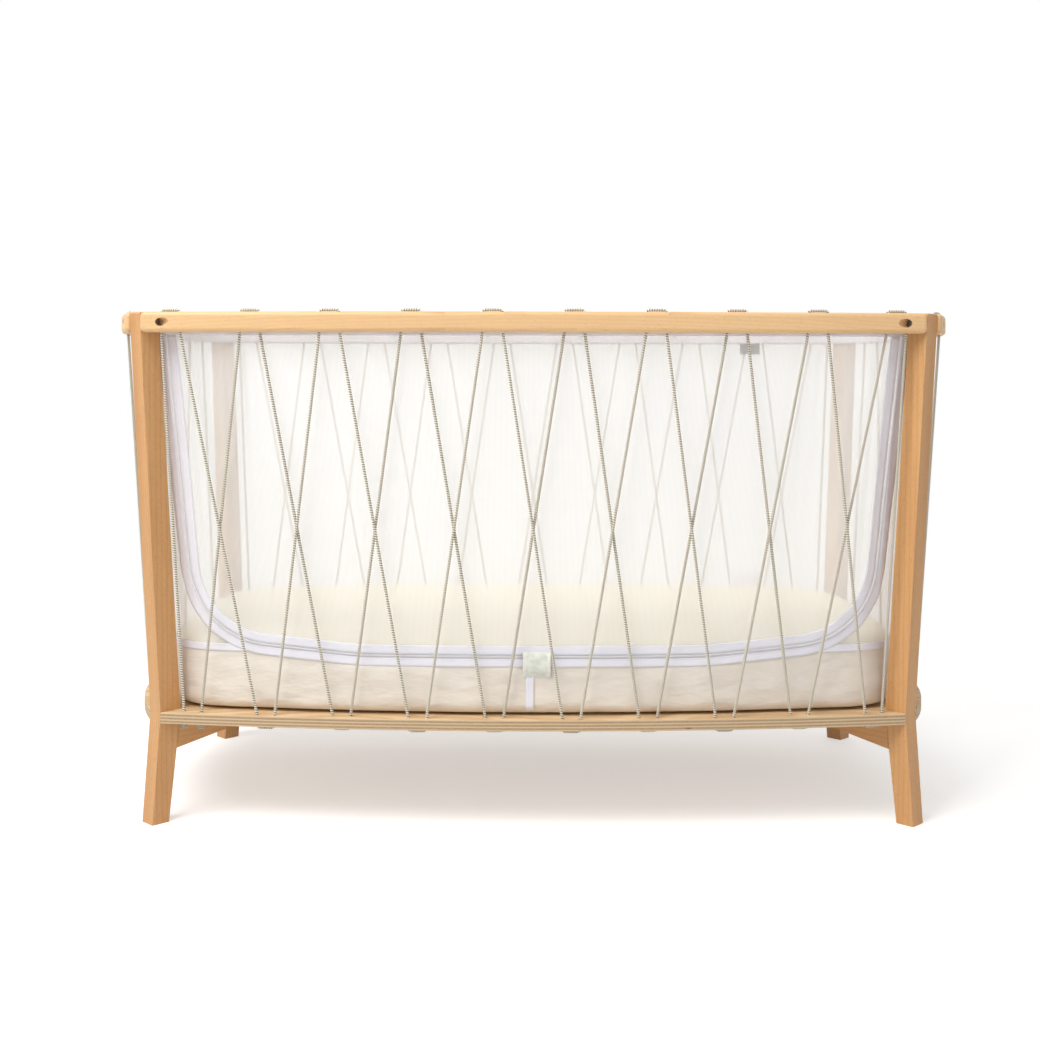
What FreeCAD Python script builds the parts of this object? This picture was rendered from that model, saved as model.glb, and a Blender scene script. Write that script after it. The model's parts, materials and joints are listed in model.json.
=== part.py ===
import FreeCAD, Part
import math
import os

Vec = FreeCAD.Vector
os.makedirs("parts", exist_ok=True)

# A baby crib: four angled plank posts carry a ring of bowed rails and a bowed plywood board.
# Elastic cord is laced between rails and board, and a net with a cotton foot hangs inside it.
# X runs along the crib, the front is -Y, and the origin is on the floor under its middle.
# All sizes are in mm. A side's own coordinates are "along" it and "out" from the middle.

# Overall
total_height = 830.0
clearance = 0.3                  # between pieces that only lie against each other
spare = 1.0                      # how far a cutting shape runs past the face it opens

# Posts: planks standing in the diagonal planes, bent at the waist
waist_x = 615.8                  # middle of a post's outer edge at the waist
waist_y = 274.2
waist_height = 177.0
post_thickness = 32.0
foot_splay = 14.0                # how far the outer edge leans out from the waist
top_splay = 39.0
foot_width = 31.0
waist_width = 38.0
top_width = 34.0
post_edge_radius = 1.2
post_top_radius = 3.5

# Rails
rail_height = 33.0
rail_thickness = 26.0
rail_proud = 4.0                 # the rail's tip past the post's corner, along X and along Y
long_rail_bow = 42.0
end_rail_bow = 62.3
rail_edge_radius = 7.0
rail_tip_radius = 5.0

# Board
board_thickness = 18.0
board_top = 181.0
long_board_bow = 47.5
end_board_bow = 58.0
board_edge_chamfer = 0.8

# Arms under the board
arm_reach = 170.0
arm_root_depth = 45.0
arm_tip_depth = 18.0

# Bolts, inserts, dowels and screws
long_bolt_reach = 18.5           # from the waist point, outward in the post's plane
end_bolt_reach = 29.0
bolt_seat_depth = 15.0           # wood under the bolt's head
bolt_diameter = 6.0
bolt_head_diameter = 10.0
bolt_head_height = 6.0
bolt_head_rounding = 0.8
bolt_tip_gap = 1.0               # short of the insert's end
bolt_hex = 5.0
bolt_hex_depth = 3.0
bolt_pocket_diameter = 14.0
insert_diameter = 10.0
insert_length = 14.0
dowel_diameter = 10.0
dowel_length = 40.0
dowel_slack = 0.1
dowel_heights = (128.0, 148.0)
screw_diameter = 5.0
screw_head_diameter = 9.0
screw_head_height = 3.0
screw_head_recess = 6.0
screw_bite = 13.0                # into the board
screw_reaches = (-95.0, -165.0)  # from the waist point, in the post's plane

# Lacing
cord_diameter = 5.0
lace_hole_diameter = 6.6
lace_bend_radius = 6.5           # the cord's middle line, where it turns over wood
lace_lean_radius = 20.0          # where a strand leaves its hole at a small angle
strand_stagger = 2.75            # keeps crossing strands side by side
rail_pair_gap = 32.0
board_pair_gap = 29.0
board_hole_inset = 12.0
long_pair_count = 10
long_rail_margin = 37.3          # from the rail's tip to its outermost hole
long_board_margin = 36.5         # from the board's corner to its outermost hole
end_pair_count = 5
end_rail_margin = 48.5
end_board_margin = 38.4
knot_diameter = 12.0
knot_height = 9.0
knot_rounding = 3.2

# Mattress
mattress_length = 1220.0
mattress_width = 610.0
mattress_thickness = 120.0
mattress_long_bow = 60.0
mattress_end_bow = 20.0
mattress_corner_radius = 100.0
mattress_foot_radius = 30.0
mattress_rim_radius = 22.0
mattress_cover_thickness = 1.6
core_gap = 0.2                   # between the foam and its cover

# Base cover, net, hem and seams
base_cloth = 1.2
base_ease = 1.5                  # between the mattress and the base cover's wall
base_cover_top = 284.0
net_thickness = 0.8
hem_thickness = 2.4
hem_gap = 0.6                    # to the rail's inner face
hem_drop = 8.0                   # its top edge below the rails' top
hem_height = 29.5
hem_corner_radius = 150.0
binding_height = 12.0
binding_thickness = 0.8
snap_drop = 10.0                 # below the hem's top edge
snap_diameter = 10.0
snap_shank_diameter = 5.0
snap_cap_height = 1.5
snap_cap_rounding = 0.65
snap_slack = 0.1
long_snap_places = (-480.0, -288.0, -96.0, 96.0, 288.0, 480.0)
end_snap_places = (-150.0, 0.0, 150.0)

# Zip round the front door
door_top_half_width = 596.0
door_corner_half_width = 553.0   # where the sides' and the rising foot's lines would meet
door_corner_height = 301.0
door_corner_radius = 140.0
door_flat_half_width = 280.0
door_bend_radius = 600.0
zip_height = 277.0               # of its level bottom run
tape_width = 15.0
tape_thickness = 0.8
tape_split = 0.4
tape_gap = 0.25                  # from the net to the tapes
coil_width = 5.0
coil_thickness = 1.4
coil_gap = 0.05                  # from the tapes to the coil
slider_length = 13.0
slider_width = 8.0
slider_height = 3.2
slider_rounding = 1.3
slider_root = 0.5                # how far its cheeks run into its plate
slider_spacing = 16.0

# Tags
garage_width = 45.0
garage_middle = 6.5
garage_bottom = 245.0
garage_top = 285.0
garage_rise = 6.5
garage_seam = 1.5                # the flat strip sewn down along its top and its bottom
garage_slope = 7.8               # height its lower side takes to rise
garage_upper_slope = 2.0
garage_cloth = 0.8
strap_width = 13.0
strap_middle = -5.0
strap_foot = 214.0
strap_thickness = 0.8
care_label_width = 55.0
care_label_height = 46.0
care_label_middle = 425.0
hem_tag_width = 39.0
hem_tag_height = 20.0
hem_tag_middle = 441.0
tag_thickness = 0.5
tag_slack = 0.1

# Worked out from the sizes above
diagonal = math.sqrt(0.5)
board_bottom = board_top - board_thickness
rail_bottom = total_height - rail_height
hem_top = total_height - hem_drop
hem_bottom = hem_top - hem_height
snap_height = hem_top - snap_drop
bolt_height = total_height - rail_height / 2
half_post = post_thickness / 2
cord_radius = cord_diameter / 2
mattress_bottom = board_top + clearance + base_cloth + clearance
mattress_top = mattress_bottom + mattress_thickness


def save(name, shape):
    shape.exportStep("parts/" + name + ".step")


def mirror_x(shape):
    return shape.mirror(Vec(0, 0, 0), Vec(1, 0, 0))


def mirror_y(shape):
    return shape.mirror(Vec(0, 0, 0), Vec(0, 1, 0))


def save_corners(stem, shape):
    """The piece as built stands at the back right."""
    save(stem + "_back_right", shape)
    save(stem + "_back_left", mirror_x(shape))
    save(stem + "_front_right", mirror_y(shape))
    save(stem + "_front_left", mirror_x(mirror_y(shape)))


def all_corners(shapes):
    half = shapes + [mirror_x(shape) for shape in shapes]
    return Part.makeCompound(half + [mirror_y(shape) for shape in half])


def corner_point(reach, across, height):
    """A point near the back right post: reach outward in its plane, across towards the end."""
    x = waist_x + (reach + across) * diagonal
    y = waist_y + (reach - across) * diagonal
    return Vec(x, y, height)


reach_way = Vec(diagonal, diagonal, 0)
across_way = Vec(diagonal, -diagonal, 0)
up = Vec(0, 0, 1)


def plank(outline, thickness):
    """A plank in the post's plane, from (reach, height) points."""
    points = [corner_point(reach, -thickness / 2, height) for reach, height in outline]
    wire = Part.makePolygon(points + points[:1])
    return Part.Face(wire).extrude(across_way * thickness)


def rod(diameter, start, way, length):
    return Part.makeCylinder(diameter / 2, length, start, way)


def edges_of(shape, test):
    return [edge for edge in shape.Edges if test(edge)]


def cut_each(shape, cutters):
    """Cuts one after another, because a whole row at once can leave holes out."""
    for cutter in cutters:
        shape = shape.cut(cutter)
    return shape


# Posts and arms

def outer_reach(height):
    if height < waist_height:
        return foot_splay * (1 - height / waist_height)
    return top_splay * (height - waist_height) / (total_height - waist_height)


def inner_reach(height):
    if height < waist_height:
        width = foot_width + (waist_width - foot_width) * height / waist_height
    else:
        share = (height - waist_height) / (total_height - waist_height)
        width = waist_width + (top_width - waist_width) * share
    return outer_reach(height) - width


def make_post():
    heights = (0.0, waist_height, total_height)
    outline = [(outer_reach(height), height) for height in heights]
    outline += [(inner_reach(height), height) for height in reversed(heights)]
    post = plank(outline, post_thickness)
    at_top = edges_of(post, lambda edge: edge.BoundBox.ZMin > total_height - 0.01)
    post = post.makeFillet(post_top_radius, at_top)
    return post.makeFillet(post_edge_radius, edges_of(post, lambda edge: edge.Length > 150))


def arm_floor(reach):
    root = inner_reach(board_bottom - arm_root_depth)
    share = (root - reach) / arm_reach
    return board_bottom - arm_root_depth + (arm_root_depth - arm_tip_depth) * share


def make_arm():
    root_height = board_bottom - arm_root_depth
    tip = inner_reach(root_height) - arm_reach
    outline = [(inner_reach(root_height), root_height), (inner_reach(board_bottom), board_bottom)]
    outline += [(tip, board_bottom), (tip, board_bottom - arm_tip_depth)]
    return plank(outline, post_thickness)


def make_dowel(height, slack=0.0):
    middle = inner_reach(height)
    length = dowel_length + 2 * slack
    start = corner_point(middle - length / 2, 0, height)
    return rod(dowel_diameter + slack, start, reach_way, length)


def screw_head_foot(reach):
    return arm_floor(reach - screw_head_diameter / 2) + screw_head_recess


def make_screw(reach):
    foot = screw_head_foot(reach)
    head = rod(screw_head_diameter, corner_point(reach, 0, foot), up, screw_head_height)
    length = board_bottom + screw_bite - foot
    shank = rod(screw_diameter, corner_point(reach, 0, foot), up, length)
    return head.fuse(shank).removeSplitter()


def screw_hole(reach):
    foot = screw_head_foot(reach)
    below = arm_floor(reach) - board_thickness
    pocket_height = foot + screw_head_height - below
    pocket = rod(screw_head_diameter, corner_point(reach, 0, below), up, pocket_height)
    length = board_bottom + screw_bite - below
    return pocket.fuse(rod(screw_diameter, corner_point(reach, 0, below), up, length))


# Bolts: the long rail's come from the -across side, the end rail's from the +across side

def bolt_line(side):
    """Where a bolt's axis meets the post's face, and the way out from there."""
    reach = long_bolt_reach if side < 0 else end_bolt_reach
    return corner_point(reach, side * half_post, bolt_height), across_way * side


def hexagon_prism(middle, way, size, length):
    across = up.cross(way)
    points = []
    for turn in range(7):
        angle = math.radians(60 * turn)
        spread = across * math.cos(angle) + up * math.sin(angle)
        points.append(middle + spread * (size / math.sqrt(3)))
    return Part.Face(Part.makePolygon(points)).extrude(way * length)


def make_bolt(side):
    face, way = bolt_line(side)
    seat = face + way * bolt_seat_depth
    length = bolt_seat_depth + insert_length - bolt_tip_gap
    shank = rod(bolt_diameter, seat, way * -1, length)
    head = rod(bolt_head_diameter, seat, way, bolt_head_height)
    rim = edges_of(head, lambda edge: (edge.CenterOfMass - seat).dot(way) > bolt_head_height * 0.9)
    head = head.makeFillet(bolt_head_rounding, rim)
    socket_floor = seat + way * (bolt_head_height - bolt_hex_depth)
    socket = hexagon_prism(socket_floor, way, bolt_hex, bolt_hex_depth + spare)
    return head.cut(socket).fuse(shank).removeSplitter()


def bolt_pocket(side):
    face, way = bolt_line(side)
    seat = face + way * bolt_seat_depth
    pocket = rod(bolt_pocket_diameter, seat, way, rail_thickness * 3)
    bore = rod(bolt_diameter + clearance, face - way * spare, way, bolt_seat_depth + spare)
    return pocket.fuse(bore)


def make_insert(side):
    face, way = bolt_line(side)
    body = rod(insert_diameter, face, way * -1, insert_length)
    bore = rod(bolt_diameter, face + way * spare, way * -1, insert_length + 2 * spare)
    return body.cut(bore)


def insert_hole(side):
    face, way = bolt_line(side)
    return rod(insert_diameter, face + way * spare, way * -1, insert_length + spare)


# Bowed sides

class Bow:
    """An arc bulging outward: it passes (-half, edge), (0, edge + bow) and (half, edge)."""

    def __init__(self, radius, middle):
        self.radius = radius
        self.middle = middle

    @classmethod
    def through(cls, half, edge, bow):
        radius = (half ** 2 + bow ** 2) / (2 * bow)
        return cls(radius, edge + bow - radius)

    def shifted(self, distance):
        return Bow(self.radius + distance, self.middle)

    def out(self, along):
        return self.middle + math.sqrt(self.radius ** 2 - along ** 2)

    def mitre(self, lead):
        """Where the line along = out + lead crosses the arc."""
        half_b = (lead - self.middle) / 2
        c = (lead ** 2 + self.middle ** 2 - self.radius ** 2) / 2
        out = -half_b + math.sqrt(half_b ** 2 - c)
        return out + lead, out


class Side:
    """A long side (the back one) or an end (the right one); the others are mirrored."""

    def __init__(self, is_long, corner_top, corner_waist):
        self.is_long = is_long
        rail_bow = long_rail_bow if is_long else end_rail_bow
        board_bow = long_board_bow if is_long else end_board_bow
        top_along, top_out = self.split(corner_top)
        waist_along, waist_out = self.split(corner_waist)
        self.lead = top_along - top_out
        self.rail = Bow.through(top_along + rail_proud, top_out + rail_proud, rail_bow)
        self.board = Bow.through(waist_along, waist_out, board_bow)
        self.board_end = waist_along

    def split(self, point):
        return (point.x, point.y) if self.is_long else (point.y, point.x)

    def at(self, along, out, height):
        return Vec(along, out, height) if self.is_long else Vec(out, along, height)


long_side = Side(True, corner_point(top_splay, -half_post, 0), corner_point(0, -half_post, 0))
end_side = Side(False, corner_point(top_splay, half_post, 0), corner_point(0, half_post, 0))


def arc(start, middle, end):
    return Part.Arc(start, middle, end).toShape()


def make_rail(side):
    outer = side.rail
    inner = outer.shifted(-rail_thickness)
    outer_end = outer.mitre(side.lead)
    inner_end = inner.mitre(side.lead)

    def at(along, out):
        return side.at(along, out, rail_bottom)

    def bowed(bow, end):
        return arc(at(-end[0], end[1]), at(0, bow.out(0)), at(end[0], end[1]))

    edges = [bowed(outer, outer_end)]
    edges.append(Part.makeLine(at(*outer_end), at(*inner_end)))
    edges.append(bowed(inner, inner_end))
    edges.append(Part.makeLine(at(-inner_end[0], inner_end[1]), at(-outer_end[0], outer_end[1])))
    plan = Part.Face(Part.Wire(Part.__sortEdges__(edges)))
    rail = plan.extrude(up * rail_height)

    tip = outer_end[0]

    def is_tip(edge):
        along, out = side.split(edge.CenterOfMass)
        upright = edge.BoundBox.ZLength > rail_height / 2
        return upright and abs(abs(along) - tip) < 0.5

    rail = rail.makeFillet(rail_tip_radius, edges_of(rail, is_tip))
    rail = rail.makeFillet(rail_edge_radius, edges_of(rail, lambda edge: edge.Length > 400))
    cutters = [bolt_pocket(-1 if side.is_long else 1)]
    cutters += [mirror_x(cutters[0]) if side.is_long else mirror_y(cutters[0])]
    cutters += [lace_hole(place, rail_bottom, total_height, True) for place in rail_places(side)]
    return cut_each(rail, cutters)


# Lacing holes: places on the rail and on the board, pair by pair, left then right

def pair_places(side, bow, inset, count, pitch, gap, first_is_outer):
    places = []
    for pair in range(count):
        middle = (pair - (count - 1) / 2) * pitch
        is_outer = (pair % 2 == 0) == first_is_outer
        for sign in (-1, 1):
            at_end = pair == (0 if sign < 0 else count - 1)
            stagger = strand_stagger if is_outer and not at_end else -strand_stagger
            line = bow.shifted(stagger - inset)
            along = middle + sign * gap / 2
            places.append(side.at(along, line.out(along), 0))
    return places


def pair_count(side):
    return long_pair_count if side.is_long else end_pair_count


def pair_pitch(side, half_side, margin, gap):
    """Spreads the pairs so that the outermost holes keep their margin from the side's ends."""
    return (2 * (half_side - margin) - gap) / (pair_count(side) - 1)


def rail_places(side):
    margin = long_rail_margin if side.is_long else end_rail_margin
    pitch = pair_pitch(side, side.rail.mitre(side.lead)[0], margin, rail_pair_gap)
    inset = rail_thickness / 2
    return pair_places(side, side.rail, inset, pair_count(side), pitch, rail_pair_gap, True)


def board_places(side):
    margin = long_board_margin if side.is_long else end_board_margin
    pitch = pair_pitch(side, side.board_end, margin, board_pair_gap)
    inset = board_hole_inset
    return pair_places(side, side.board, inset, pair_count(side), pitch, board_pair_gap, False)


def lace_hole(place, bottom, top, flared_up):
    """A hole whose mouth is coned where the cord turns over the wood."""
    radius = lace_hole_diameter / 2
    flare = lace_bend_radius - cord_radius - clearance
    mouth = top if flared_up else bottom
    inward = -1 if flared_up else 1
    outside = mouth - inward * spare
    far = (bottom if flared_up else top) + inward * spare
    profile = [Vec(0, 0, outside), Vec(radius + flare + spare, 0, outside)]
    profile += [Vec(radius, 0, mouth + inward * flare), Vec(radius, 0, far), Vec(0, 0, far)]
    hole = Part.Face(Part.makePolygon(profile + profile[:1])).revolve(Vec(0, 0, 0), up, 360)
    hole.translate(Vec(place.x, place.y, 0))
    return hole


def make_board():
    edges = []
    long_end = corner_point(0, -half_post, board_bottom)
    end_end = corner_point(0, half_post, board_bottom)
    back_middle = Vec(0, long_side.board.out(0), board_bottom)
    right_middle = Vec(end_side.board.out(0), 0, board_bottom)

    def flip(point, x_sign, y_sign):
        return Vec(point.x * x_sign, point.y * y_sign, point.z)

    for sign in (1, -1):
        long_ends = flip(long_end, -1, sign), flip(long_end, 1, sign)
        short_ends = flip(end_end, sign, -1), flip(end_end, sign, 1)
        edges.append(arc(long_ends[0], flip(back_middle, 1, sign), long_ends[1]))
        edges.append(arc(short_ends[0], flip(right_middle, sign, 1), short_ends[1]))
        for other in (1, -1):
            edges.append(Part.makeLine(flip(long_end, sign, other), flip(end_end, sign, other)))
    plan = Part.Face(Part.Wire(Part.__sortEdges__(edges)))
    board = plan.extrude(up * board_thickness)

    slot_floor = inner_reach(waist_height) - clearance
    slot_mouth = foot_splay + top_splay
    slot_outline = [(slot_floor, board_bottom - spare), (slot_mouth, board_bottom - spare)]
    slot_outline += [(slot_mouth, board_top + spare), (slot_floor, board_top + spare)]
    slots = all_corners([plank(slot_outline, post_thickness + clearance)]).Solids
    board = cut_each(board, slots)
    rims = edges_of(board, lambda edge: edge.BoundBox.ZLength < 0.01 and edge.Length > 100)
    board = board.makeChamfer(board_edge_chamfer, rims)
    cutters = []
    for reach in screw_reaches:
        start = corner_point(reach, 0, board_bottom - spare)
        cutters.append(rod(screw_diameter, start, up, screw_bite + spare))
    cutters = all_corners(cutters).Solids
    for side in (long_side, end_side):
        mirror = mirror_y if side.is_long else mirror_x
        holes = [lace_hole(place, board_bottom, board_top, False) for place in board_places(side)]
        cutters += holes + [mirror(hole) for hole in holes]
    return cut_each(board, cutters)


# Lacing cords

def rounded_wire(points, radii):
    """Straight runs joined by tangent arcs; radii holds one value for each inner point."""
    edges = []
    start = points[0]
    for index, radius in enumerate(radii, 1):
        corner = points[index]
        back = (points[index - 1] - corner).normalize()
        ahead = (points[index + 1] - corner).normalize()
        half_angle = math.acos(max(-1.0, min(1.0, back.dot(ahead)))) / 2
        setback = radius / math.tan(half_angle)
        inward = (back + ahead).normalize()
        reach = radius / math.sin(half_angle) - radius
        leave = corner + back * setback
        join = corner + ahead * setback
        edges.append(Part.makeLine(start, leave))
        edges.append(arc(leave, corner + inward * reach, join))
        start = join
    edges.append(Part.makeLine(start, points[-1]))
    return Part.Wire(edges)


def lacing_points(side):
    """One cord: out along the side on alternate pairs, then back on the others."""
    rail = rail_places(side)
    board = board_places(side)
    count = pair_count(side)
    over = total_height + cord_radius + clearance / 3
    under = board_bottom - cord_radius - clearance / 3
    points = [Vec(board[0].x, board[0].y, board_bottom - clearance / 3)]
    radii = []

    def strand(board_place, rail_place, going_up):
        low = [(Vec(board_place.x, board_place.y, under), lace_bend_radius)]
        low.append((Vec(board_place.x, board_place.y, board_top), lace_lean_radius))
        high = [(Vec(rail_place.x, rail_place.y, rail_bottom), lace_lean_radius)]
        high.append((Vec(rail_place.x, rail_place.y, over), lace_bend_radius))
        stops = low + high if going_up else (low + high)[::-1]
        for point, radius in stops:
            points.append(point)
            radii.append(radius)

    left, right = 0, 1
    strand(board[left], rail[left], True)
    del points[1], radii[0]
    for pair in range(1, count):
        going_up = pair % 2 == 0
        before = 2 * (pair - 1) + right
        here = 2 * pair + left
        if going_up:
            strand(board[before], rail[here], True)
        else:
            strand(board[here], rail[before], False)
    last = 2 * (count - 1) + right
    strand(board[last], rail[last], count % 2 == 0)
    for pair in range(count - 1, 0, -1):
        going_up = (count - pair) % 2 == 0 if count % 2 == 0 else (count - pair) % 2 == 1
        before = 2 * pair + left
        here = 2 * (pair - 1) + right
        if going_up:
            strand(board[before], rail[here], True)
        else:
            strand(board[here], rail[before], False)
    points[-1] = Vec(points[-1].x, points[-1].y, board_bottom - clearance / 3)
    radii.pop()
    return points, radii


def make_cord(side):
    points, radii = lacing_points(side)
    wire = rounded_wire(points, radii)
    way = (points[1] - points[0]).normalize()
    ring = Part.Wire(Part.makeCircle(cord_radius, points[0], way))
    cord = wire.makePipeShell([ring], True, False)
    expected = wire.Length * math.pi * cord_radius ** 2
    print("cord", round(wire.Length), "mm, volume ratio", round(cord.Volume / expected, 4))
    return cord


def make_knots(side):
    points, radii = lacing_points(side)
    knots = []
    for end in (points[0], points[-1]):
        foot = Vec(end.x, end.y, end.z - knot_height)
        knot = rod(knot_diameter, foot, up, knot_height)
        knots.append(knot.makeFillet(knot_rounding, knot.Edges[:1] + knot.Edges[2:3]))
    return knots


# Rounded outlines with bowed sides, for the mattress and everything sewn round it

class Outline:
    def __init__(self, long_bow, end_bow, corner_radius):
        self.long_bow = long_bow
        self.end_bow = end_bow
        self.corner_radius = corner_radius

    def shifted(self, distance):
        bows = (self.long_bow.shifted(distance), self.end_bow.shifted(distance))
        return Outline(*bows, self.corner_radius + distance)

    def corner_middle(self):
        """The centre of the corner arc that touches both bows from inside."""
        reach_a = self.long_bow.radius - self.corner_radius
        reach_b = self.end_bow.radius - self.corner_radius
        a = Vec(0, self.long_bow.middle, 0)
        b = Vec(self.end_bow.middle, 0, 0)
        apart = (b - a).Length
        along = (b - a).normalize()
        step = (reach_a ** 2 - reach_b ** 2 + apart ** 2) / (2 * apart)
        rise = math.sqrt(reach_a ** 2 - step ** 2)
        return a + along * step + Vec(along.y, -along.x, 0) * rise

    def wire(self, height):
        middle = self.corner_middle()
        radius = self.corner_radius
        to_long = (middle - Vec(0, self.long_bow.middle, 0)).normalize()
        to_end = (middle - Vec(self.end_bow.middle, 0, 0)).normalize()
        long_join = middle + to_long * radius
        end_join = middle + to_end * radius
        bend = middle + (to_long + to_end).normalize() * radius

        def at(point, x_sign, y_sign):
            return Vec(point.x * x_sign, point.y * y_sign, height)

        right = Vec(self.end_bow.out(0), 0, 0)
        back = Vec(0, self.long_bow.out(0), 0)
        edges = [arc(at(end_join, 1, -1), at(right, 1, 1), at(end_join, 1, 1))]
        edges.append(arc(at(end_join, 1, 1), at(bend, 1, 1), at(long_join, 1, 1)))
        edges.append(arc(at(long_join, 1, 1), at(back, 1, 1), at(long_join, -1, 1)))
        edges.append(arc(at(long_join, -1, 1), at(bend, -1, 1), at(end_join, -1, 1)))
        edges.append(arc(at(end_join, -1, 1), at(right, -1, 1), at(end_join, -1, -1)))
        edges.append(arc(at(end_join, -1, -1), at(bend, -1, -1), at(long_join, -1, -1)))
        edges.append(arc(at(long_join, -1, -1), at(back, 1, -1), at(long_join, 1, -1)))
        edges.append(arc(at(long_join, 1, -1), at(bend, 1, -1), at(end_join, 1, -1)))
        return Part.Wire(edges)

    def block(self, bottom, top):
        return Part.Face(self.wire(bottom)).extrude(up * (top - bottom))

    def bend_point(self):
        middle = self.corner_middle()
        return middle + Vec(diagonal, diagonal, 0) * self.corner_radius


mattress_outline = Outline(
    Bow.through(mattress_length / 2, mattress_width / 2 - mattress_long_bow, mattress_long_bow),
    Bow.through(mattress_width / 2, mattress_length / 2 - mattress_end_bow, mattress_end_bow),
    mattress_corner_radius)
rail_inside = Outline(
    long_side.rail.shifted(-rail_thickness),
    end_side.rail.shifted(-rail_thickness),
    hem_corner_radius)
wall_inside = mattress_outline.shifted(base_ease)
hem_outside = rail_inside.shifted(-hem_gap)
net_top_inside = hem_outside.shifted(-(hem_thickness + net_thickness) / 2)
net_foot_inside = wall_inside.shifted((base_cloth - net_thickness) / 2)


def rounded_block(outline, bottom, top, foot_radius, rim_radius):
    block = outline.block(bottom, top)
    foot = edges_of(block, lambda edge: edge.BoundBox.ZMax < bottom + 0.01)
    block = block.makeFillet(foot_radius, foot)
    if rim_radius:
        rim = edges_of(block, lambda edge: edge.BoundBox.ZMin > top - 0.01)
        block = block.makeFillet(rim_radius, rim)
    return block


def mattress_block(inset):
    outline = mattress_outline.shifted(-inset)
    foot = mattress_foot_radius - inset
    rim = mattress_rim_radius - inset
    return rounded_block(outline, mattress_bottom + inset, mattress_top - inset, foot, rim)


def slab(bottom, top):
    """A level layer wider than the whole crib."""
    reach = 3 * waist_x
    return Part.makeBox(2 * reach, 2 * reach, top - bottom, Vec(-reach, -reach, bottom))


def make_base_cover():
    foot = mattress_foot_radius + base_ease + base_cloth
    outer = wall_inside.shifted(base_cloth)
    outer = rounded_block(outer, board_top + clearance, base_cover_top, foot, 0)
    floor = board_top + clearance + base_cloth
    inner = rounded_block(wall_inside, floor, base_cover_top + spare, foot - base_cloth, 0)
    return outer.cut(inner)


def cloth_ring(start, end):
    """The net's own sloping ring, from start to end mm outside its inner face."""
    rings = []
    for distance in (end, start):
        foot = net_foot_inside.shifted(distance).wire(base_cover_top)
        top = net_top_inside.shifted(distance).wire(hem_bottom)
        rings.append(Part.makeLoft([foot, top], True, True))
    return rings[0].cut(rings[1])


def foot_ring(start, end):
    """The same cloth carried straight down over the base cover's wall."""
    outer = wall_inside.shifted(base_cloth + end - net_thickness)
    inner = wall_inside.shifted(base_cloth + start - net_thickness)
    low = base_cover_top - tape_width * 3
    return outer.block(low, base_cover_top).cut(inner.block(low, base_cover_top))


def front_prism(outline):
    return Part.Face(outline).extrude(Vec(0, waist_y * 2, 0))


def shifted_corner(before, corner, after, shift):
    """The corner of two lines that both move to their left by shift."""
    way_in = (corner - before).normalize()
    way_out = (after - corner).normalize()
    left_in = Vec(-way_in.z, 0, way_in.x)
    left_out = Vec(-way_out.z, 0, way_out.x)
    middle = (left_in + left_out).normalize()
    return corner + middle * (shift / middle.dot(left_in))


def door_wire(shift, top):
    """The zip's U, shifted outward and closed along the given height."""
    y = -waist_y * 2.5
    half = [(door_top_half_width, hem_bottom), (door_corner_half_width, door_corner_height)]
    half.append((door_flat_half_width, zip_height))
    path = [Vec(x, y, z) for x, z in half] + [Vec(-x, y, z) for x, z in reversed(half)]
    side = (path[0] - path[1]).normalize()
    path[0] = path[0] + side * ((top - hem_bottom) / side.z)
    path[-1] = Vec(-path[0].x, y, path[0].z)
    points = [path[0] + Vec(shift / side.z, 0, 0)]
    for index in range(1, 5):
        points.append(shifted_corner(path[index - 1], path[index], path[index + 1], shift))
    points.append(Vec(-points[0].x, y, points[0].z))
    bends = (door_corner_radius, door_bend_radius, door_bend_radius, door_corner_radius)
    edges = rounded_wire(points, [bend + shift for bend in bends]).Edges
    edges.append(Part.makeLine(points[-1], points[0]))
    return Part.Wire(edges)


def door_prism(shift, top=hem_bottom + spare):
    return front_prism(door_wire(shift, top))


def door_band(inner_shift, outer_shift):
    return door_prism(outer_shift).cut(door_prism(inner_shift, hem_bottom + 2 * spare))


def quarter(name):
    """A tall prism round one side of the net, cut at the corner seams."""
    foot = net_foot_inside.bend_point()
    top = net_top_inside.bend_point()
    far = foot + (top - foot) * 4
    near = foot - (top - foot).normalize() * mattress_foot_radius * 2
    if name in ("front", "back"):
        bulge = far.y + long_rail_bow * 2
        plan = [(-far.x, far.y), (-near.x, near.y), (near.x, near.y), (far.x, far.y), (0, bulge)]
    else:
        bulge = far.x + end_rail_bow * 2
        plan = [(far.x, -far.y), (near.x, -near.y), (near.x, near.y), (far.x, far.y), (bulge, 0)]
    points = [Vec(x, y, 0) for x, y in plan]
    prism = Part.Face(Part.makePolygon(points + points[:1])).extrude(up * total_height * 1.2)
    if name == "front":
        return mirror_y(prism)
    return mirror_x(prism) if name == "left" else prism


# Zip: the tapes lie on the net's outer face, the coil on the tapes

tape_start = net_thickness + tape_gap
tape_end = tape_start + tape_thickness
coil_start = tape_end + coil_gap
coil_end = coil_start + coil_thickness


def over_front(start, end, prism):
    parts = [ring.common(prism) for ring in (foot_ring(start, end), cloth_ring(start, end))]
    return parts[0].fuse(parts[1])


zip_bow = wall_inside.shifted(base_cloth - net_thickness).long_bow


def front_out(along, above_net):
    """How far the front cloth stands at the zip's bottom run."""
    return zip_bow.shifted(above_net).out(along)


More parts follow.
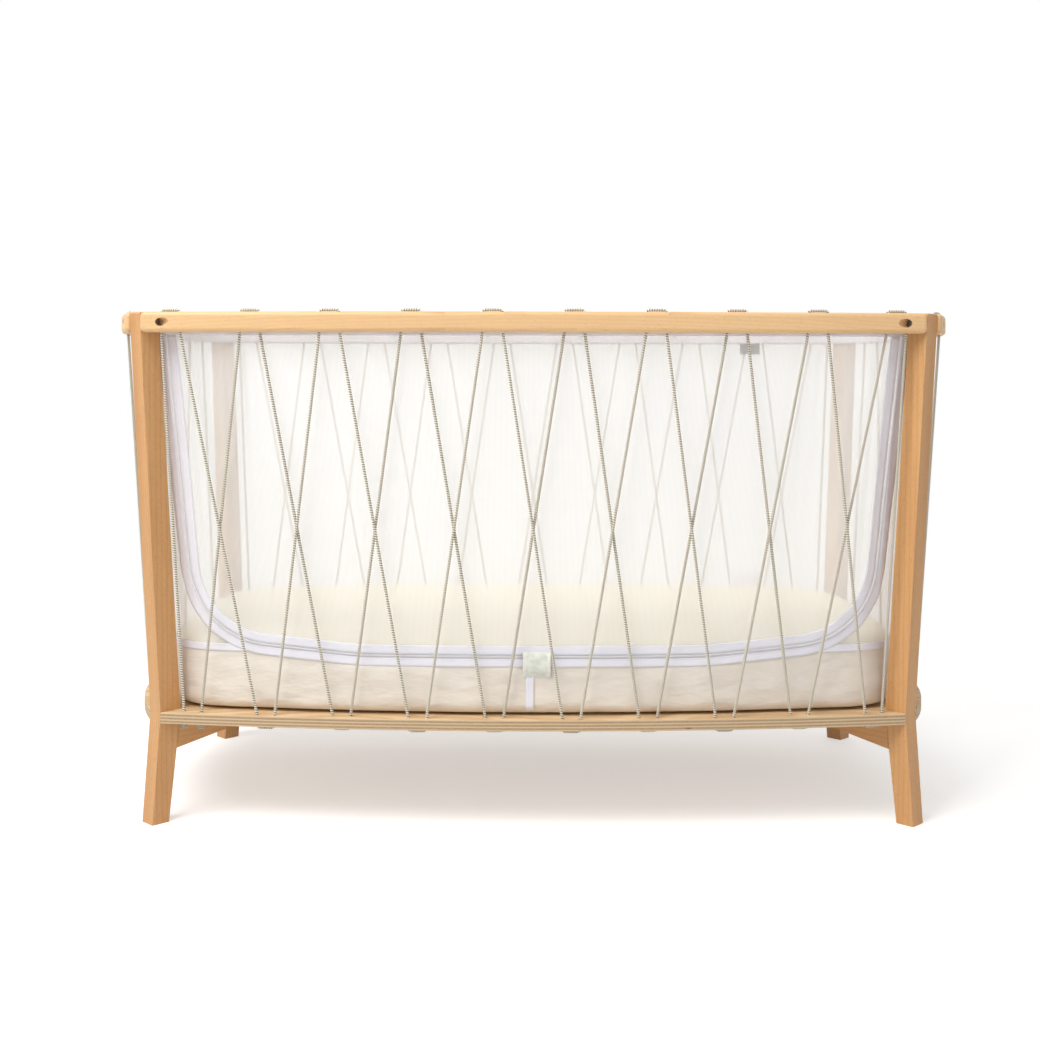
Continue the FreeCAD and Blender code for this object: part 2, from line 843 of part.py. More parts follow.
def make_slider(place):
    """A plain slider riding the coil, with a flange down each side of it."""
    foot = coil_start + clearance
    reach = coil_end + clearance
    flange = (slider_width - coil_width) / 2 - clearance
    y = -front_out(0, 0)
    low = zip_height - slider_width / 2
    corner = Vec(-slider_length / 2, y - reach - slider_height, low)
    top_plate = Part.makeBox(slider_length, slider_height, slider_width, corner)
    rim = edges_of(top_plate, lambda edge: edge.BoundBox.YMax < y - reach - slider_height / 2)
    body = top_plate.makeFillet(slider_rounding, rim)
    for side in (-1, 1):
        middle = zip_height + side * (slider_width - flange) / 2
        corner = Vec(-slider_length / 2, y - reach - slider_root, middle - flange / 2)
        cheek = Part.makeBox(slider_length, reach - foot + slider_root, flange, corner)
        body = body.fuse(cheek)
    body = body.removeSplitter()
    turn = math.degrees(place / zip_bow.radius)
    body.rotate(Vec(0, -zip_bow.middle, 0), up, turn)
    return body


def make_garage():
    """A cloth tunnel over the sliders: sewn at its top and bottom edges, open at both sides."""
    wall = -front_out(0, tape_end + tag_slack)
    low = garage_bottom + garage_seam
    high = garage_top - garage_seam

    def profile(depth):
        flat = [(depth, garage_bottom), (depth, low)]
        raised = garage_rise + depth
        flat += [(raised, low + garage_slope), (raised, high - garage_upper_slope)]
        return flat + [(depth, high), (depth, garage_top)]

    outline = profile(garage_cloth) + profile(0)[::-1]
    x = garage_middle - garage_width / 2
    points = [Vec(x, wall - out, height) for out, height in outline]
    return Part.Face(Part.makePolygon(points + points[:1])).extrude(Vec(garage_width, 0, 0))


def make_strap():
    """A ribbon from the base cover's lower edge up to the zip's garage."""
    out = wall_inside.long_bow.shifted(base_cloth).out(0) + tag_slack
    low = Vec(strap_middle - strap_width / 2, -out - strap_thickness, strap_foot)
    return Part.makeBox(strap_width, strap_thickness, garage_bottom - strap_foot, low)


def back_net_patch(middle, width, bottom, height):
    """A piece of cloth lying on the back net's inner face."""
    box = Part.makeBox(width, mattress_width, height, Vec(middle - width / 2, 0, bottom))
    return cloth_ring(-tag_thickness - tag_slack, -tag_slack).common(box)


# Press studs that hold the hem to the rails

def make_snap(side, along):
    rail_face = side.rail.shifted(-rail_thickness)
    angle = math.asin(along / rail_face.radius)
    way = side.at(-math.sin(angle), -math.cos(angle), 0)
    face = side.at(along, rail_face.out(along), snap_height)
    disc = rod(snap_diameter, face + way * snap_slack, way, hem_gap - 2 * snap_slack)
    through = hem_gap + hem_thickness + snap_slack
    shank = rod(snap_shank_diameter, face + way * snap_slack, way, through)
    cap = rod(snap_diameter, face + way * through, way, snap_cap_height)
    cap = cap.makeFillet(snap_cap_rounding, cap.Edges[:1] + cap.Edges[2:3])
    return disc.fuse(shank).fuse(cap).removeSplitter()


def snaps_on(side):
    places = long_snap_places if side.is_long else end_snap_places
    return [make_snap(side, along) for along in places]


def snap_holes(side):
    rail_face = side.rail.shifted(-rail_thickness)
    holes = []
    for along in long_snap_places if side.is_long else end_snap_places:
        angle = math.asin(along / rail_face.radius)
        way = side.at(-math.sin(angle), -math.cos(angle), 0)
        face = side.at(along, rail_face.out(along), snap_height)
        length = hem_gap + hem_thickness + 2 * spare
        holes.append(rod(snap_shank_diameter + 2 * snap_slack, face - way * spare, way, length))
    return holes


# Frame
post = make_post()
post = cut_each(post, [make_dowel(height, dowel_slack) for height in dowel_heights])
post = cut_each(post, [insert_hole(side) for side in (-1, 1)])
save_corners("post", post)

arm = make_arm()
arm = cut_each(arm, [make_dowel(height, dowel_slack) for height in dowel_heights])
arm = cut_each(arm, [screw_hole(reach) for reach in screw_reaches])
save_corners("arm", arm)

long_rail = make_rail(long_side)
end_rail = make_rail(end_side)
save("rail_back", long_rail)
save("rail_front", mirror_y(long_rail))
save("rail_right", end_rail)
save("rail_left", mirror_x(end_rail))
save("base_board", make_board())

save("rail_bolts", all_corners([make_bolt(-1), make_bolt(1)]))
save("threaded_inserts", all_corners([make_insert(-1), make_insert(1)]))
save("arm_dowels", all_corners([make_dowel(height) for height in dowel_heights]))
save("board_screws", all_corners([make_screw(reach) for reach in screw_reaches]))

# Lacing
long_cord = make_cord(long_side)
end_cord = make_cord(end_side)
save("lacing_cord_back", long_cord)
save("lacing_cord_front", mirror_y(long_cord))
save("lacing_cord_right", end_cord)
save("lacing_cord_left", mirror_x(end_cord))
knots = []
for side, mirror in ((long_side, mirror_y), (end_side, mirror_x)):
    knots += make_knots(side)
    knots += [mirror(knot) for knot in make_knots(side)]
save("lacing_knots", Part.makeCompound(knots))

# Mattress
core_inset = mattress_cover_thickness + core_gap
cover = mattress_block(0).cut(mattress_block(mattress_cover_thickness))
half_height = (mattress_bottom + mattress_top) / 2
save("mattress_core", mattress_block(core_inset))
save("mattress_cover_top", cover.common(slab(half_height, total_height)))
save("mattress_cover_base", cover.common(slab(0, half_height)))

# Base cover and net
save("base_cover", make_base_cover())
net = cloth_ring(0, net_thickness)
for name in ("back", "left", "right"):
    save("net_" + name, net.common(quarter(name)))
net_front = net.common(quarter("front"))
save("net_door", net_front.common(door_prism(0)))
for solid in net_front.cut(door_prism(0, hem_bottom + 2 * spare)).Solids:
    save("net_front_left" if solid.CenterOfMass.x < 0 else "net_front_right", solid)

hem_inside = hem_outside.shifted(-hem_thickness)
hem = hem_outside.block(hem_bottom, hem_top).cut(hem_inside.block(hem_bottom, hem_top))
hem_cutters = []
snaps = []
for side, mirror in ((long_side, mirror_y), (end_side, mirror_x)):
    hem_cutters += snap_holes(side) + [mirror(hole) for hole in snap_holes(side)]
    snaps += snaps_on(side) + [mirror(snap) for snap in snaps_on(side)]
hem = cut_each(hem, hem_cutters)
for name in ("front", "back", "left", "right"):
    save("hem_" + name, hem.common(quarter(name)))
save("hem_snaps", Part.makeCompound(snaps))

# Zip and seams
half_split = tape_split / 2
half_coil = coil_width / 2
save("zip_tape_inner", over_front(tape_start, tape_end, door_band(-tape_width, -half_split)))
save("zip_tape_outer", over_front(tape_start, tape_end, door_band(half_split, tape_width)))
save("zip_coil", over_front(coil_start, coil_end, door_band(-half_coil, half_coil)))
save("zip_slider_left", make_slider(garage_middle - slider_spacing / 2))
save("zip_slider_right", make_slider(garage_middle + slider_spacing / 2))

half_binding = binding_height / 2
seam_level = slab(base_cover_top - half_binding, base_cover_top + half_binding)
binding = over_front(tape_start, tape_start + binding_thickness, seam_level)
save("seam_binding", binding.cut(door_prism(tape_width + tape_split, hem_bottom + 2 * spare)))

# Tags
save("zip_garage", make_garage())
save("base_strap", make_strap())
hem_tag_foot = hem_bottom - hem_tag_height
label = back_net_patch(care_label_middle, care_label_width, base_cover_top, care_label_height)
save("care_label", label)
save("hem_tag", back_net_patch(hem_tag_middle, hem_tag_width, hem_tag_foot, hem_tag_height))
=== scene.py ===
import json
import math

import bmesh
import bpy
import numpy as np
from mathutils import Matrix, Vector, noise

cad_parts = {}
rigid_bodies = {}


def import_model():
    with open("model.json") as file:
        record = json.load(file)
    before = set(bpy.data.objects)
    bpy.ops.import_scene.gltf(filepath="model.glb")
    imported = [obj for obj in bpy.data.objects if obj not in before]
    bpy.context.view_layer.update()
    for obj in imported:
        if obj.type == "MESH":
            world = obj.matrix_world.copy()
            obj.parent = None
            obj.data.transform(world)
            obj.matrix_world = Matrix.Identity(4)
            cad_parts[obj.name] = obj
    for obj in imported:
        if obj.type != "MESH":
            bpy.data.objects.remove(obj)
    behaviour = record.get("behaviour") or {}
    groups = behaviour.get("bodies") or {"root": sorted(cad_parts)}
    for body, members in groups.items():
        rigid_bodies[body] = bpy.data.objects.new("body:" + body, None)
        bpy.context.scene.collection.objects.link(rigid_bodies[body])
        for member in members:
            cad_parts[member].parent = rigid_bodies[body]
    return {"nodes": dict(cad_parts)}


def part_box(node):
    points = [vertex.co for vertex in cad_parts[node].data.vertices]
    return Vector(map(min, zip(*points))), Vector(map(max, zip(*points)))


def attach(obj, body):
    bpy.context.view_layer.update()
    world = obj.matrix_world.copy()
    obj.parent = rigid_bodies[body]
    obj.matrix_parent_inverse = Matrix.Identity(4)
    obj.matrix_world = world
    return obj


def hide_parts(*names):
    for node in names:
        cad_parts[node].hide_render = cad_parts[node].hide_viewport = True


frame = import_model()
nodes = frame["nodes"]
bpy.context.view_layer.update()

# Sizes shared with the CAD, in metres
crib = {
    "waistX": 0.6158, "waistY": 0.2742,
    "postThickness": 0.032, "topSplay": 0.039,
    "totalHeight": 0.830, "railHeight": 0.033, "railThickness": 0.026, "railProud": 0.004,
    "longRailBow": 0.042, "endRailBow": 0.0623,
    "boardTop": 0.181, "boardBottom": 0.163, "longBoardBow": 0.0475, "endBoardBow": 0.058,
    "mattressLong": 0.610, "mattressWide": 0.305, "mattressLongBow": 0.060,
    "mattressEndBow": 0.020, "mattressCorner": 0.100,
    "mattressFoot": 0.1828, "mattressTop": 0.3028,
    "seam": 0.284, "hemFoot": 0.7925, "hemTop": 0.822,
}
diagonal = math.sqrt(0.5)

# Camera
camera = {"place": (0.0, -2.596, 0.734), "lens": 49.3, "shiftX": -0.0130, "shiftY": -0.1420, "roll": -0.11}
lens = bpy.data.cameras.new("camera")
lens.lens = camera["lens"]
lens.sensor_width = 36.0
lens.shift_x = camera["shiftX"]
lens.shift_y = camera["shiftY"]
lens.clip_end = 60.0
eye = bpy.data.objects.new("camera", lens)
eye.location = camera["place"]
eye.rotation_euler = (math.radians(90.0), math.radians(camera["roll"]), 0.0)
bpy.context.scene.collection.objects.link(eye)
bpy.context.scene.camera = eye
bpy.context.scene.view_settings.view_transform = "Standard"
print("camera set")


# Makers shared by the pieces
def smooth(low, high, value):
    t = np.clip((value - low) / (high - low), 0.0, 1.0)
    return t * t * (3 - 2 * t)


class Bow:
    # an arc bulging outward over the middle of a side
    def __init__(self, radius, middle):
        self.radius = radius
        self.middle = middle

    @classmethod
    def through(cls, half, edge, bow):
        radius = (half ** 2 + bow ** 2) / (2 * bow)
        return cls(radius, edge + bow - radius)

    def shifted(self, distance):
        return Bow(self.radius + distance, self.middle)

    def out(self, along):
        return self.middle + math.sqrt(self.radius ** 2 - along ** 2)


class Outline:
    # four bows joined by round corners
    def __init__(self, longBow, endBow, corner):
        self.longBow, self.endBow, self.corner = longBow, endBow, corner

    def shifted(self, distance):
        return Outline(self.longBow.shifted(distance), self.endBow.shifted(distance), self.corner + distance)

    def ring(self, perSide=64, perCorner=16):
        longCentre = Vector((0.0, self.longBow.middle))
        endCentre = Vector((self.endBow.middle, 0.0))
        reachLong = self.longBow.radius - self.corner
        reachEnd = self.endBow.radius - self.corner
        way = (endCentre - longCentre).normalized()
        apart = (endCentre - longCentre).length
        step = (reachLong ** 2 - reachEnd ** 2 + apart ** 2) / (2 * apart)
        rise = math.sqrt(reachLong ** 2 - step ** 2)
        middle = longCentre + way * step + Vector((way.y, -way.x)) * rise
        toLong = (middle - longCentre).normalized()
        toEnd = (middle - endCentre).normalized()
        angleLong = math.atan2(toLong.y, toLong.x)
        angleEnd = math.atan2(toEnd.y, toEnd.x)
        quarter = []
        for centre, radius, first, last, count in (
                (endCentre, self.endBow.radius, 0.0, angleEnd, perSide // 2),
                (middle, self.corner, angleEnd, angleLong, perCorner),
                (longCentre, self.longBow.radius, angleLong, math.pi / 2, perSide // 2)):
            for i in range(count):
                angle = first + (last - first) * i / count
                quarter.append((centre.x + radius * math.cos(angle), centre.y + radius * math.sin(angle)))
        right = np.array(quarter)
        top = np.array([(0.0, longCentre.y + self.longBow.radius)])
        back = np.concatenate([top, np.stack([-right[:0:-1, 0], right[:0:-1, 1]], 1)])
        left = np.stack([-right[:, 0], -right[:, 1]], 1)
        front = np.concatenate([-top, np.stack([right[:0:-1, 0], -right[:0:-1, 1]], 1)])
        return np.concatenate([right, back, left, front])


def cornerPoint(reach, across):
    return (crib["waistX"] + (reach + across) * diagonal, crib["waistY"] + (reach - across) * diagonal)


halfPost = crib["postThickness"] / 2
topLong = cornerPoint(crib["topSplay"], -halfPost)
topEnd = cornerPoint(crib["topSplay"], halfPost)
waistLong = cornerPoint(0.0, -halfPost)
waistEnd = cornerPoint(0.0, halfPost)
proud = crib["railProud"]
longRail = Bow.through(topLong[0] + proud, topLong[1] + proud, crib["longRailBow"])
endRail = Bow.through(topEnd[1] + proud, topEnd[0] + proud, crib["endRailBow"])
longBoard = Bow.through(waistLong[0], waistLong[1], crib["longBoardBow"])
endBoard = Bow.through(waistEnd[1], waistEnd[0], crib["endBoardBow"])

mattressLine = Outline(
    Bow.through(crib["mattressLong"], crib["mattressWide"] - crib["mattressLongBow"],
                crib["mattressLongBow"]),
    Bow.through(crib["mattressWide"], crib["mattressLong"] - crib["mattressEndBow"], crib["mattressEndBow"]),
    crib["mattressCorner"])
railInside = Outline(longRail.shifted(-crib["railThickness"]), endRail.shifted(-crib["railThickness"]), 0.150)
cloths = {"slack": 0.0015, "cover": 0.0012, "net": 0.0006, "hemGap": 0.0012}
coverFace = mattressLine.shifted(cloths["slack"] + cloths["cover"])       # outer face of the base cover
netFoot = mattressLine.shifted(cloths["slack"] + cloths["net"])
netTop = railInside.shifted(-cloths["net"] - cloths["hemGap"])


def newObject(name, mesh):
    piece = bpy.data.objects.new(name, mesh)
    bpy.context.scene.collection.objects.link(piece)
    return piece


def gridMesh(name, points, closedU=False, uv=None):
    # points: rows by columns by xyz; uv gives the place on the flat cloth of a row and column
    rows, cols = points.shape[:2]
    mesh = bpy.data.meshes.new(name)
    cells = [(j, i) for j in range(rows - 1) for i in range(cols if closedU else cols - 1)]
    mesh.from_pydata(points.reshape(-1, 3).tolist(), [], [
        (j * cols + i, j * cols + (i + 1) % cols, (j + 1) * cols + (i + 1) % cols, (j + 1) * cols + i)
        for j, i in cells])
    if uv is not None:
        flat = []
        for j, i in cells:
            for row, col in ((j, i), (j, i + 1), (j + 1, i + 1), (j + 1, i)):
                flat.extend(uv(row, col))
        mesh.uv_layers.new(name="cloth").data.foreach_set("uv", flat)
    mesh.polygons.foreach_set("use_smooth", [True] * len(mesh.polygons))
    mesh.update()
    return mesh


def solidify(piece, thickness, offset=0.0):
    shell = piece.modifiers.new("thickness", "SOLIDIFY")
    shell.thickness = thickness
    shell.offset = offset
    shell.use_even_offset = True
    return shell


def baked(piece, name):
    # plain mesh of a piece with its modifiers applied
    graph = bpy.context.evaluated_depsgraph_get()
    mesh = bpy.data.meshes.new_from_object(piece.evaluated_get(graph), preserve_all_data_layers=True,
                                           depsgraph=graph)
    mesh.name = name
    old, isMesh = piece.data, piece.type == "MESH"
    bpy.data.objects.remove(piece)
    if isMesh:
        bpy.data.meshes.remove(old)
    return newObject(name, mesh)


# Shader maths
class Flow:
    # one socket of a node tree, with the sums done by nodes
    def __init__(self, tree, socket):
        self.tree, self.socket = tree, socket

    def sum(self, operation, *values):
        return self.tree.node("ShaderNodeMath", {"operation": operation}, dict(enumerate(values)))

    def __add__(self, other):
        return self.sum("ADD", self, other)

    __radd__ = __add__

    def __sub__(self, other):
        return self.sum("SUBTRACT", self, other)

    def __rsub__(self, other):
        return self.sum("SUBTRACT", other, self)

    def __mul__(self, other):
        return self.sum("MULTIPLY", self, other)

    def __truediv__(self, other):
        return self.sum("DIVIDE", self, other)

    def __abs__(self):
        return self.sum("ABSOLUTE", self)

    def sine(self):
        return self.sum("SINE", self)

    def wave(self):
        # rises from 0 to 1 and falls again, once for each whole number
        return (self * (2 * math.pi)).sine() * 0.5 + 0.5

    def fract(self):
        return self.sum("FRACT", self)

    def step(self, low, high):
        return self.tree.node("ShaderNodeMapRange", {"interpolation_type": "SMOOTHSTEP"},
                              {"Value": self, "From Min": low, "From Max": high})

    def along(self, direction):
        return self.tree.node("ShaderNodeVectorMath", {"operation": "DOT_PRODUCT"},
                              {0: self, 1: direction}, "Value")


class Finish:
    # a material and the one way to add nodes to it
    def __init__(self, name):
        self.material = bpy.data.materials.new(name)
        self.material.use_nodes = True
        self.nodes = self.material.node_tree.nodes
        self.links = self.material.node_tree.links
        self.nodes.clear()
        self.output = self.nodes.new("ShaderNodeOutputMaterial")

    def node(self, kind, settings=None, inputs=None, out=0):
        made = self.nodes.new(kind)
        for key, value in (settings or {}).items():
            setattr(made, key, value)
        for key, value in (inputs or {}).items():
            if isinstance(value, Flow):
                self.links.new(value.socket, made.inputs[key])
            elif value is not None:
                made.inputs[key].default_value = value
        return Flow(self, made.outputs[out])

    def coords(self, output="Object"):
        return self.node("ShaderNodeTexCoord", None, None, output)

    def vector(self, x, y, z):
        return self.node("ShaderNodeCombineXYZ", None, {0: x, 1: y, 2: z})

    def split(self, vector, axis):
        return self.node("ShaderNodeSeparateXYZ", None, {0: vector}, axis)

    def axes(self, vector, count=3):
        return [self.split(vector, axis) for axis in range(count)]

    def noise(self, vector, scale, detail=2.0, rough=0.5):
        return self.node("ShaderNodeTexNoise", None,
                         {"Vector": vector, "Scale": scale, "Detail": detail, "Roughness": rough}, "Fac")

    def mix(self, amount, first, second, blend="MIX"):
        return self.node("ShaderNodeMix", {"data_type": "RGBA", "blend_type": blend},
                         {0: amount, 6: first, 7: second}, 2)

    def bump(self, height, distance):
        return self.node("ShaderNodeBump", None, {"Height": height, "Distance": distance})

    def surface(self, **sockets):
        shader = self.node("ShaderNodeBsdfPrincipled", None,
                           {socketNames[key]: value for key, value in sockets.items()})
        self.links.new(shader.socket, self.output.inputs["Surface"])
        return self.material


socketNames = {"colour": "Base Color", "roughness": "Roughness", "metallic": "Metallic", "normal": "Normal",
               "alpha": "Alpha", "coat": "Coat Weight", "coatRoughness": "Coat Roughness",
               "sheen": "Sheen Weight", "sheenRoughness": "Sheen Roughness"}


def ink(red, green, blue):
    # a screen colour, 0 to 255, as the linear colour that nodes use
    def linear(value):
        value = value / 255.0
        return value / 12.92 if value <= 0.04045 else ((value + 0.055) / 1.055) ** 2.4
    return (linear(red), linear(green), linear(blue), 1.0)


# Floor, world and lamps
stageLook = {"floorGrey": 0.80, "floorLift": 0.46, "floorHalf": 14.0, "fadeLong": 1.25, "fadeWide": 0.95,
             "worldFill": 0.45, "keyPower": 137.0, "frontPower": 7.0, "rimPower": 16.0}


def seenOnly(finish):
    rays = finish.nodes.new("ShaderNodeLightPath")
    camRay = Flow(finish, rays.outputs["Is Camera Ray"])
    shiny = Flow(finish, rays.outputs["Is Glossy Ray"])
    through = Flow(finish, rays.outputs["Is Transmission Ray"])
    return camRay.sum("MAXIMUM", camRay, camRay.sum("MAXIMUM", shiny, through))


floorFinish = Finish("floorPaper")
paper = floorFinish.coords()
grey = stageLook["floorGrey"]
seen = seenOnly(floorFinish)
mottle = floorFinish.noise(paper, 3.0) * 0.01 + (grey - 0.005)
tone = floorFinish.node("ShaderNodeCombineColor", None, {0: mottle, 1: mottle, 2: mottle})
diffuse = floorFinish.node("ShaderNodeBsdfDiffuse", None, {"Color": tone})
glow = floorFinish.node("ShaderNodeEmission", None,
                        {"Color": (1.0, 1.0, 1.0, 1.0), "Strength": seen * stageLook["floorLift"]})
both = floorFinish.node("ShaderNodeAddShader", None, {0: diffuse, 1: glow})
acrossFloor = floorFinish.split(paper, 0) / stageLook["fadeLong"]
alongFloor = floorFinish.split(paper, 1) / stageLook["fadeWide"]
away = acrossFloor.sum("SQRT", acrossFloor * acrossFloor + alongFloor * alongFloor)
white = floorFinish.node("ShaderNodeEmission", None, {"Color": (1.0, 1.0, 1.0, 1.0), "Strength": 1.0})
faded = floorFinish.node("ShaderNodeMixShader", None, {0: away.step(0.75, 1.6) * seen, 1: both, 2: white})
floorFinish.links.new(faded.socket, floorFinish.output.inputs["Surface"])
floorMesh = bpy.data.meshes.new("floor")
reach = stageLook["floorHalf"]
floorMesh.from_pydata([(-reach, -reach, 0), (reach, -reach, 0), (reach, reach, 0), (-reach, reach, 0)], [],
                      [(0, 1, 2, 3)])
floor = newObject("floor", floorMesh)
floorMesh.materials.append(floorFinish.material)

world = bpy.data.worlds.new("studio")
bpy.context.scene.world = world
world.use_nodes = True
world.node_tree.nodes.clear()
sky = Finish.__new__(Finish)
sky.nodes, sky.links = world.node_tree.nodes, world.node_tree.links
seenSky = seenOnly(sky)
fill = stageLook["worldFill"]
backdrop = sky.node("ShaderNodeBackground", None,
                    {"Color": (1.0, 1.0, 1.0, 1.0), "Strength": seenSky * (1.0 - fill) + fill})
skyOut = world.node_tree.nodes.new("ShaderNodeOutputWorld")
world.node_tree.links.new(backdrop.socket, skyOut.inputs["Surface"])


def softbox(name, place, aim, size, power, colour=(1.0, 1.0, 1.0)):
    lamp = bpy.data.lights.new(name, "AREA")
    lamp.shape = "RECTANGLE"
    lamp.size, lamp.size_y = size
    lamp.energy = power
    lamp.color = colour
    holder = bpy.data.objects.new(name, lamp)
    holder.location = place
    holder.rotation_euler = (Vector(aim) - Vector(place)).to_track_quat("-Z", "Y").to_euler()
    bpy.context.scene.collection.objects.link(holder)


softbox("keyLamp", (-1.7, -1.8, 3.5), (0.0, 0.0, 0.4), (2.4, 2.2), stageLook["keyPower"], (1.0, 0.985, 0.96))
softbox("frontLamp", (1.8, -3.2, 1.5), (0.1, 0.0, 0.4), (2.2, 1.8), stageLook["frontPower"],
        (0.96, 0.98, 1.0))
softbox("rimLamp", (0.6, 2.8, 2.9), (0.0, 0.0, 0.6), (2.4, 1.6), stageLook["rimPower"], (1.0, 0.98, 0.95))
print("stage set")


# Lacing: one elastic cord along each side, up through the rail and down through the board
lacing = {
    "diameter": 0.005, "holeInset": 0.012, "stagger": 0.00275,
    "railGap": 0.032, "boardGap": 0.029, "edgeStep": 0.013, "strandStep": 0.030,
    "over": 0.0026, "ribPitch": 0.0039, "ribDepth": 0.16, "sides": 8,
    "long": (10, 0.129503, 0.122997), "end": (5, 0.114982, 0.104993),
}


def pairPlaces(bow, inset, count, pitch, gap, firstIsOuter):
    places = []
    for pair in range(count):
        middle = (pair - (count - 1) / 2) * pitch
        isOuter = (pair % 2 == 0) == firstIsOuter
        for sign in (-1, 1):
            atEnd = pair == (0 if sign < 0 else count - 1)
            shift = lacing["stagger"] if isOuter and not atEnd else -lacing["stagger"]
            along = middle + sign * gap / 2
            places.append((along, bow.shifted(shift - inset).out(along)))
    return places


def cordRoute(isLong):
    count, railPitch, boardPitch = lacing["long" if isLong else "end"]
    rail = pairPlaces(longRail if isLong else endRail, crib["railThickness"] / 2, count, railPitch,
                      lacing["railGap"], True)
    board = pairPlaces(longBoard if isLong else endBoard, lacing["holeInset"], count, boardPitch,
                       lacing["boardGap"], False)
    over = crib["totalHeight"] + lacing["over"]
    under = crib["boardBottom"] - lacing["over"]
    railFoot = crib["totalHeight"] - crib["railHeight"]
    order = [(0, 0, True)]
    for pair in range(1, count):
        up = pair % 2 == 0
        order.append((2 * pair - 1, 2 * pair, True) if up else (2 * pair, 2 * pair - 1, False))
    order.append((2 * count - 1, 2 * count - 1, count % 2 == 0))
    for pair in range(count - 1, 0, -1):
        up = (count - pair) % 2 == (0 if count % 2 == 0 else 1)
        order.append((2 * pair, 2 * pair - 1, True) if up else (2 * pair - 1, 2 * pair, False))
    stops = []
    for boardHole, railHole, up in order:
        low, high = board[boardHole], rail[railHole]
        strand = [Vector((*low, under)), Vector((*low, crib["boardTop"])),
                  Vector((*high, railFoot)), Vector((*high, over))]
        stops += strand if up else strand[::-1]
    stops[0].z = stops[-1].z = crib["boardBottom"]
    return stops


def eased(stops):
    # a route point is added near each turn: close beside an edge, further along a strand
    points = [stops[0]]
    for here, after in zip(stops, stops[1:]):
        run = after - here
        near = lacing["strandStep"] if run.length > 0.2 else lacing["edgeStep"]
        level = abs(run.z) < 0.001
        inWood = not level and run.length < 0.06
        way = run.normalized()
        if level:
            points += [here + way * near, after - way * near]
        elif inWood:
            turnAtStart = abs(here.z - crib["totalHeight"]) < 0.01 or abs(here.z - crib["boardBottom"]) < 0.01
            if turnAtStart and here != stops[0]:
                points.append(here + way * near)
            elif not turnAtStart and after != stops[-1]:
                points.append(after - way * near)
        else:
            points += [here + way * near, after - way * near]
        points.append(after)
    return points


def placed(isLong, sign, point):
    along, out, height = point
    return Vector((along, out * sign, height)) if isLong else Vector((out * sign, along, height))


def splineLine(name, points):
    curve = bpy.data.curves.new(name, "CURVE")
    curve.dimensions = "3D"
    curve.resolution_u = 6
    spline = curve.splines.new("NURBS")
    spline.points.add(len(points) - 1)
    for slot, point in zip(spline.points, points):
        slot.co = (*point, 1.0)
    spline.order_u = 3
    spline.use_endpoint_u = True
    return newObject(name, curve)


def treeSocket(tree, name, kind, isOutput=False):
    return tree.interface.new_socket(name, in_out="OUTPUT" if isOutput else "INPUT", socket_type=kind)


class Growth:
    # a Geometry Nodes tree that is built, run once on a piece and left out of the result
    def __init__(self, name, sizes):
        self.tree = bpy.data.node_groups.new(name, "GeometryNodeTree")
        self.tree.is_modifier = True
        treeSocket(self.tree, "Geometry", "NodeSocketGeometry")
        self.ids = {}
        for key, value in sizes.items():
            kinds = {bpy.types.Material: "Material", bpy.types.Object: "Object", int: "Int", float: "Float"}
            kind = "NodeSocket" + next(word for made, word in kinds.items() if isinstance(value, made))
            self.ids[key] = (treeSocket(self.tree, key, kind).identifier, value)
        treeSocket(self.tree, "Geometry", "NodeSocketGeometry", isOutput=True)
        self.start = self.tree.nodes.new("NodeGroupInput")
        self.end = self.tree.nodes.new("NodeGroupOutput")

    def size(self, name):
        return self.start.outputs[name]

    def node(self, kind, settings=None, inputs=None):
        made = self.tree.nodes.new(kind)
        for key, value in (settings or {}).items():
            setattr(made, key, value)
        for key, value in (inputs or {}).items():
            if isinstance(value, bpy.types.NodeSocket):
                self.tree.links.new(value, made.inputs[key])
            else:
                made.inputs[key].default_value = value
        return made

    def math(self, operation, *values):
        return self.node("ShaderNodeMath", {"operation": operation}, dict(enumerate(values))).outputs[0]

    def store(self, geometry, name, value):
        return self.node("GeometryNodeStoreNamedAttribute", {"data_type": "FLOAT", "domain": "POINT"},
                         {"Geometry": geometry, "Name": name, "Value": value}).outputs[0]

    def run(self, piece, geometry, name):
        painted = self.node("GeometryNodeSetMaterial", None,
                            {"Geometry": self.node("GeometryNodeRealizeInstances", None,
                                                   {"Geometry": geometry}).outputs[0],
                             "Material": self.size("Material")}).outputs[0]
        self.tree.links.new(painted, self.end.inputs[0])
        modifier = piece.modifiers.new("growth", "NODES")
        modifier.node_group = self.tree
        for identifier, value in self.ids.values():
            modifier[identifier] = value
        return baked(piece, name)


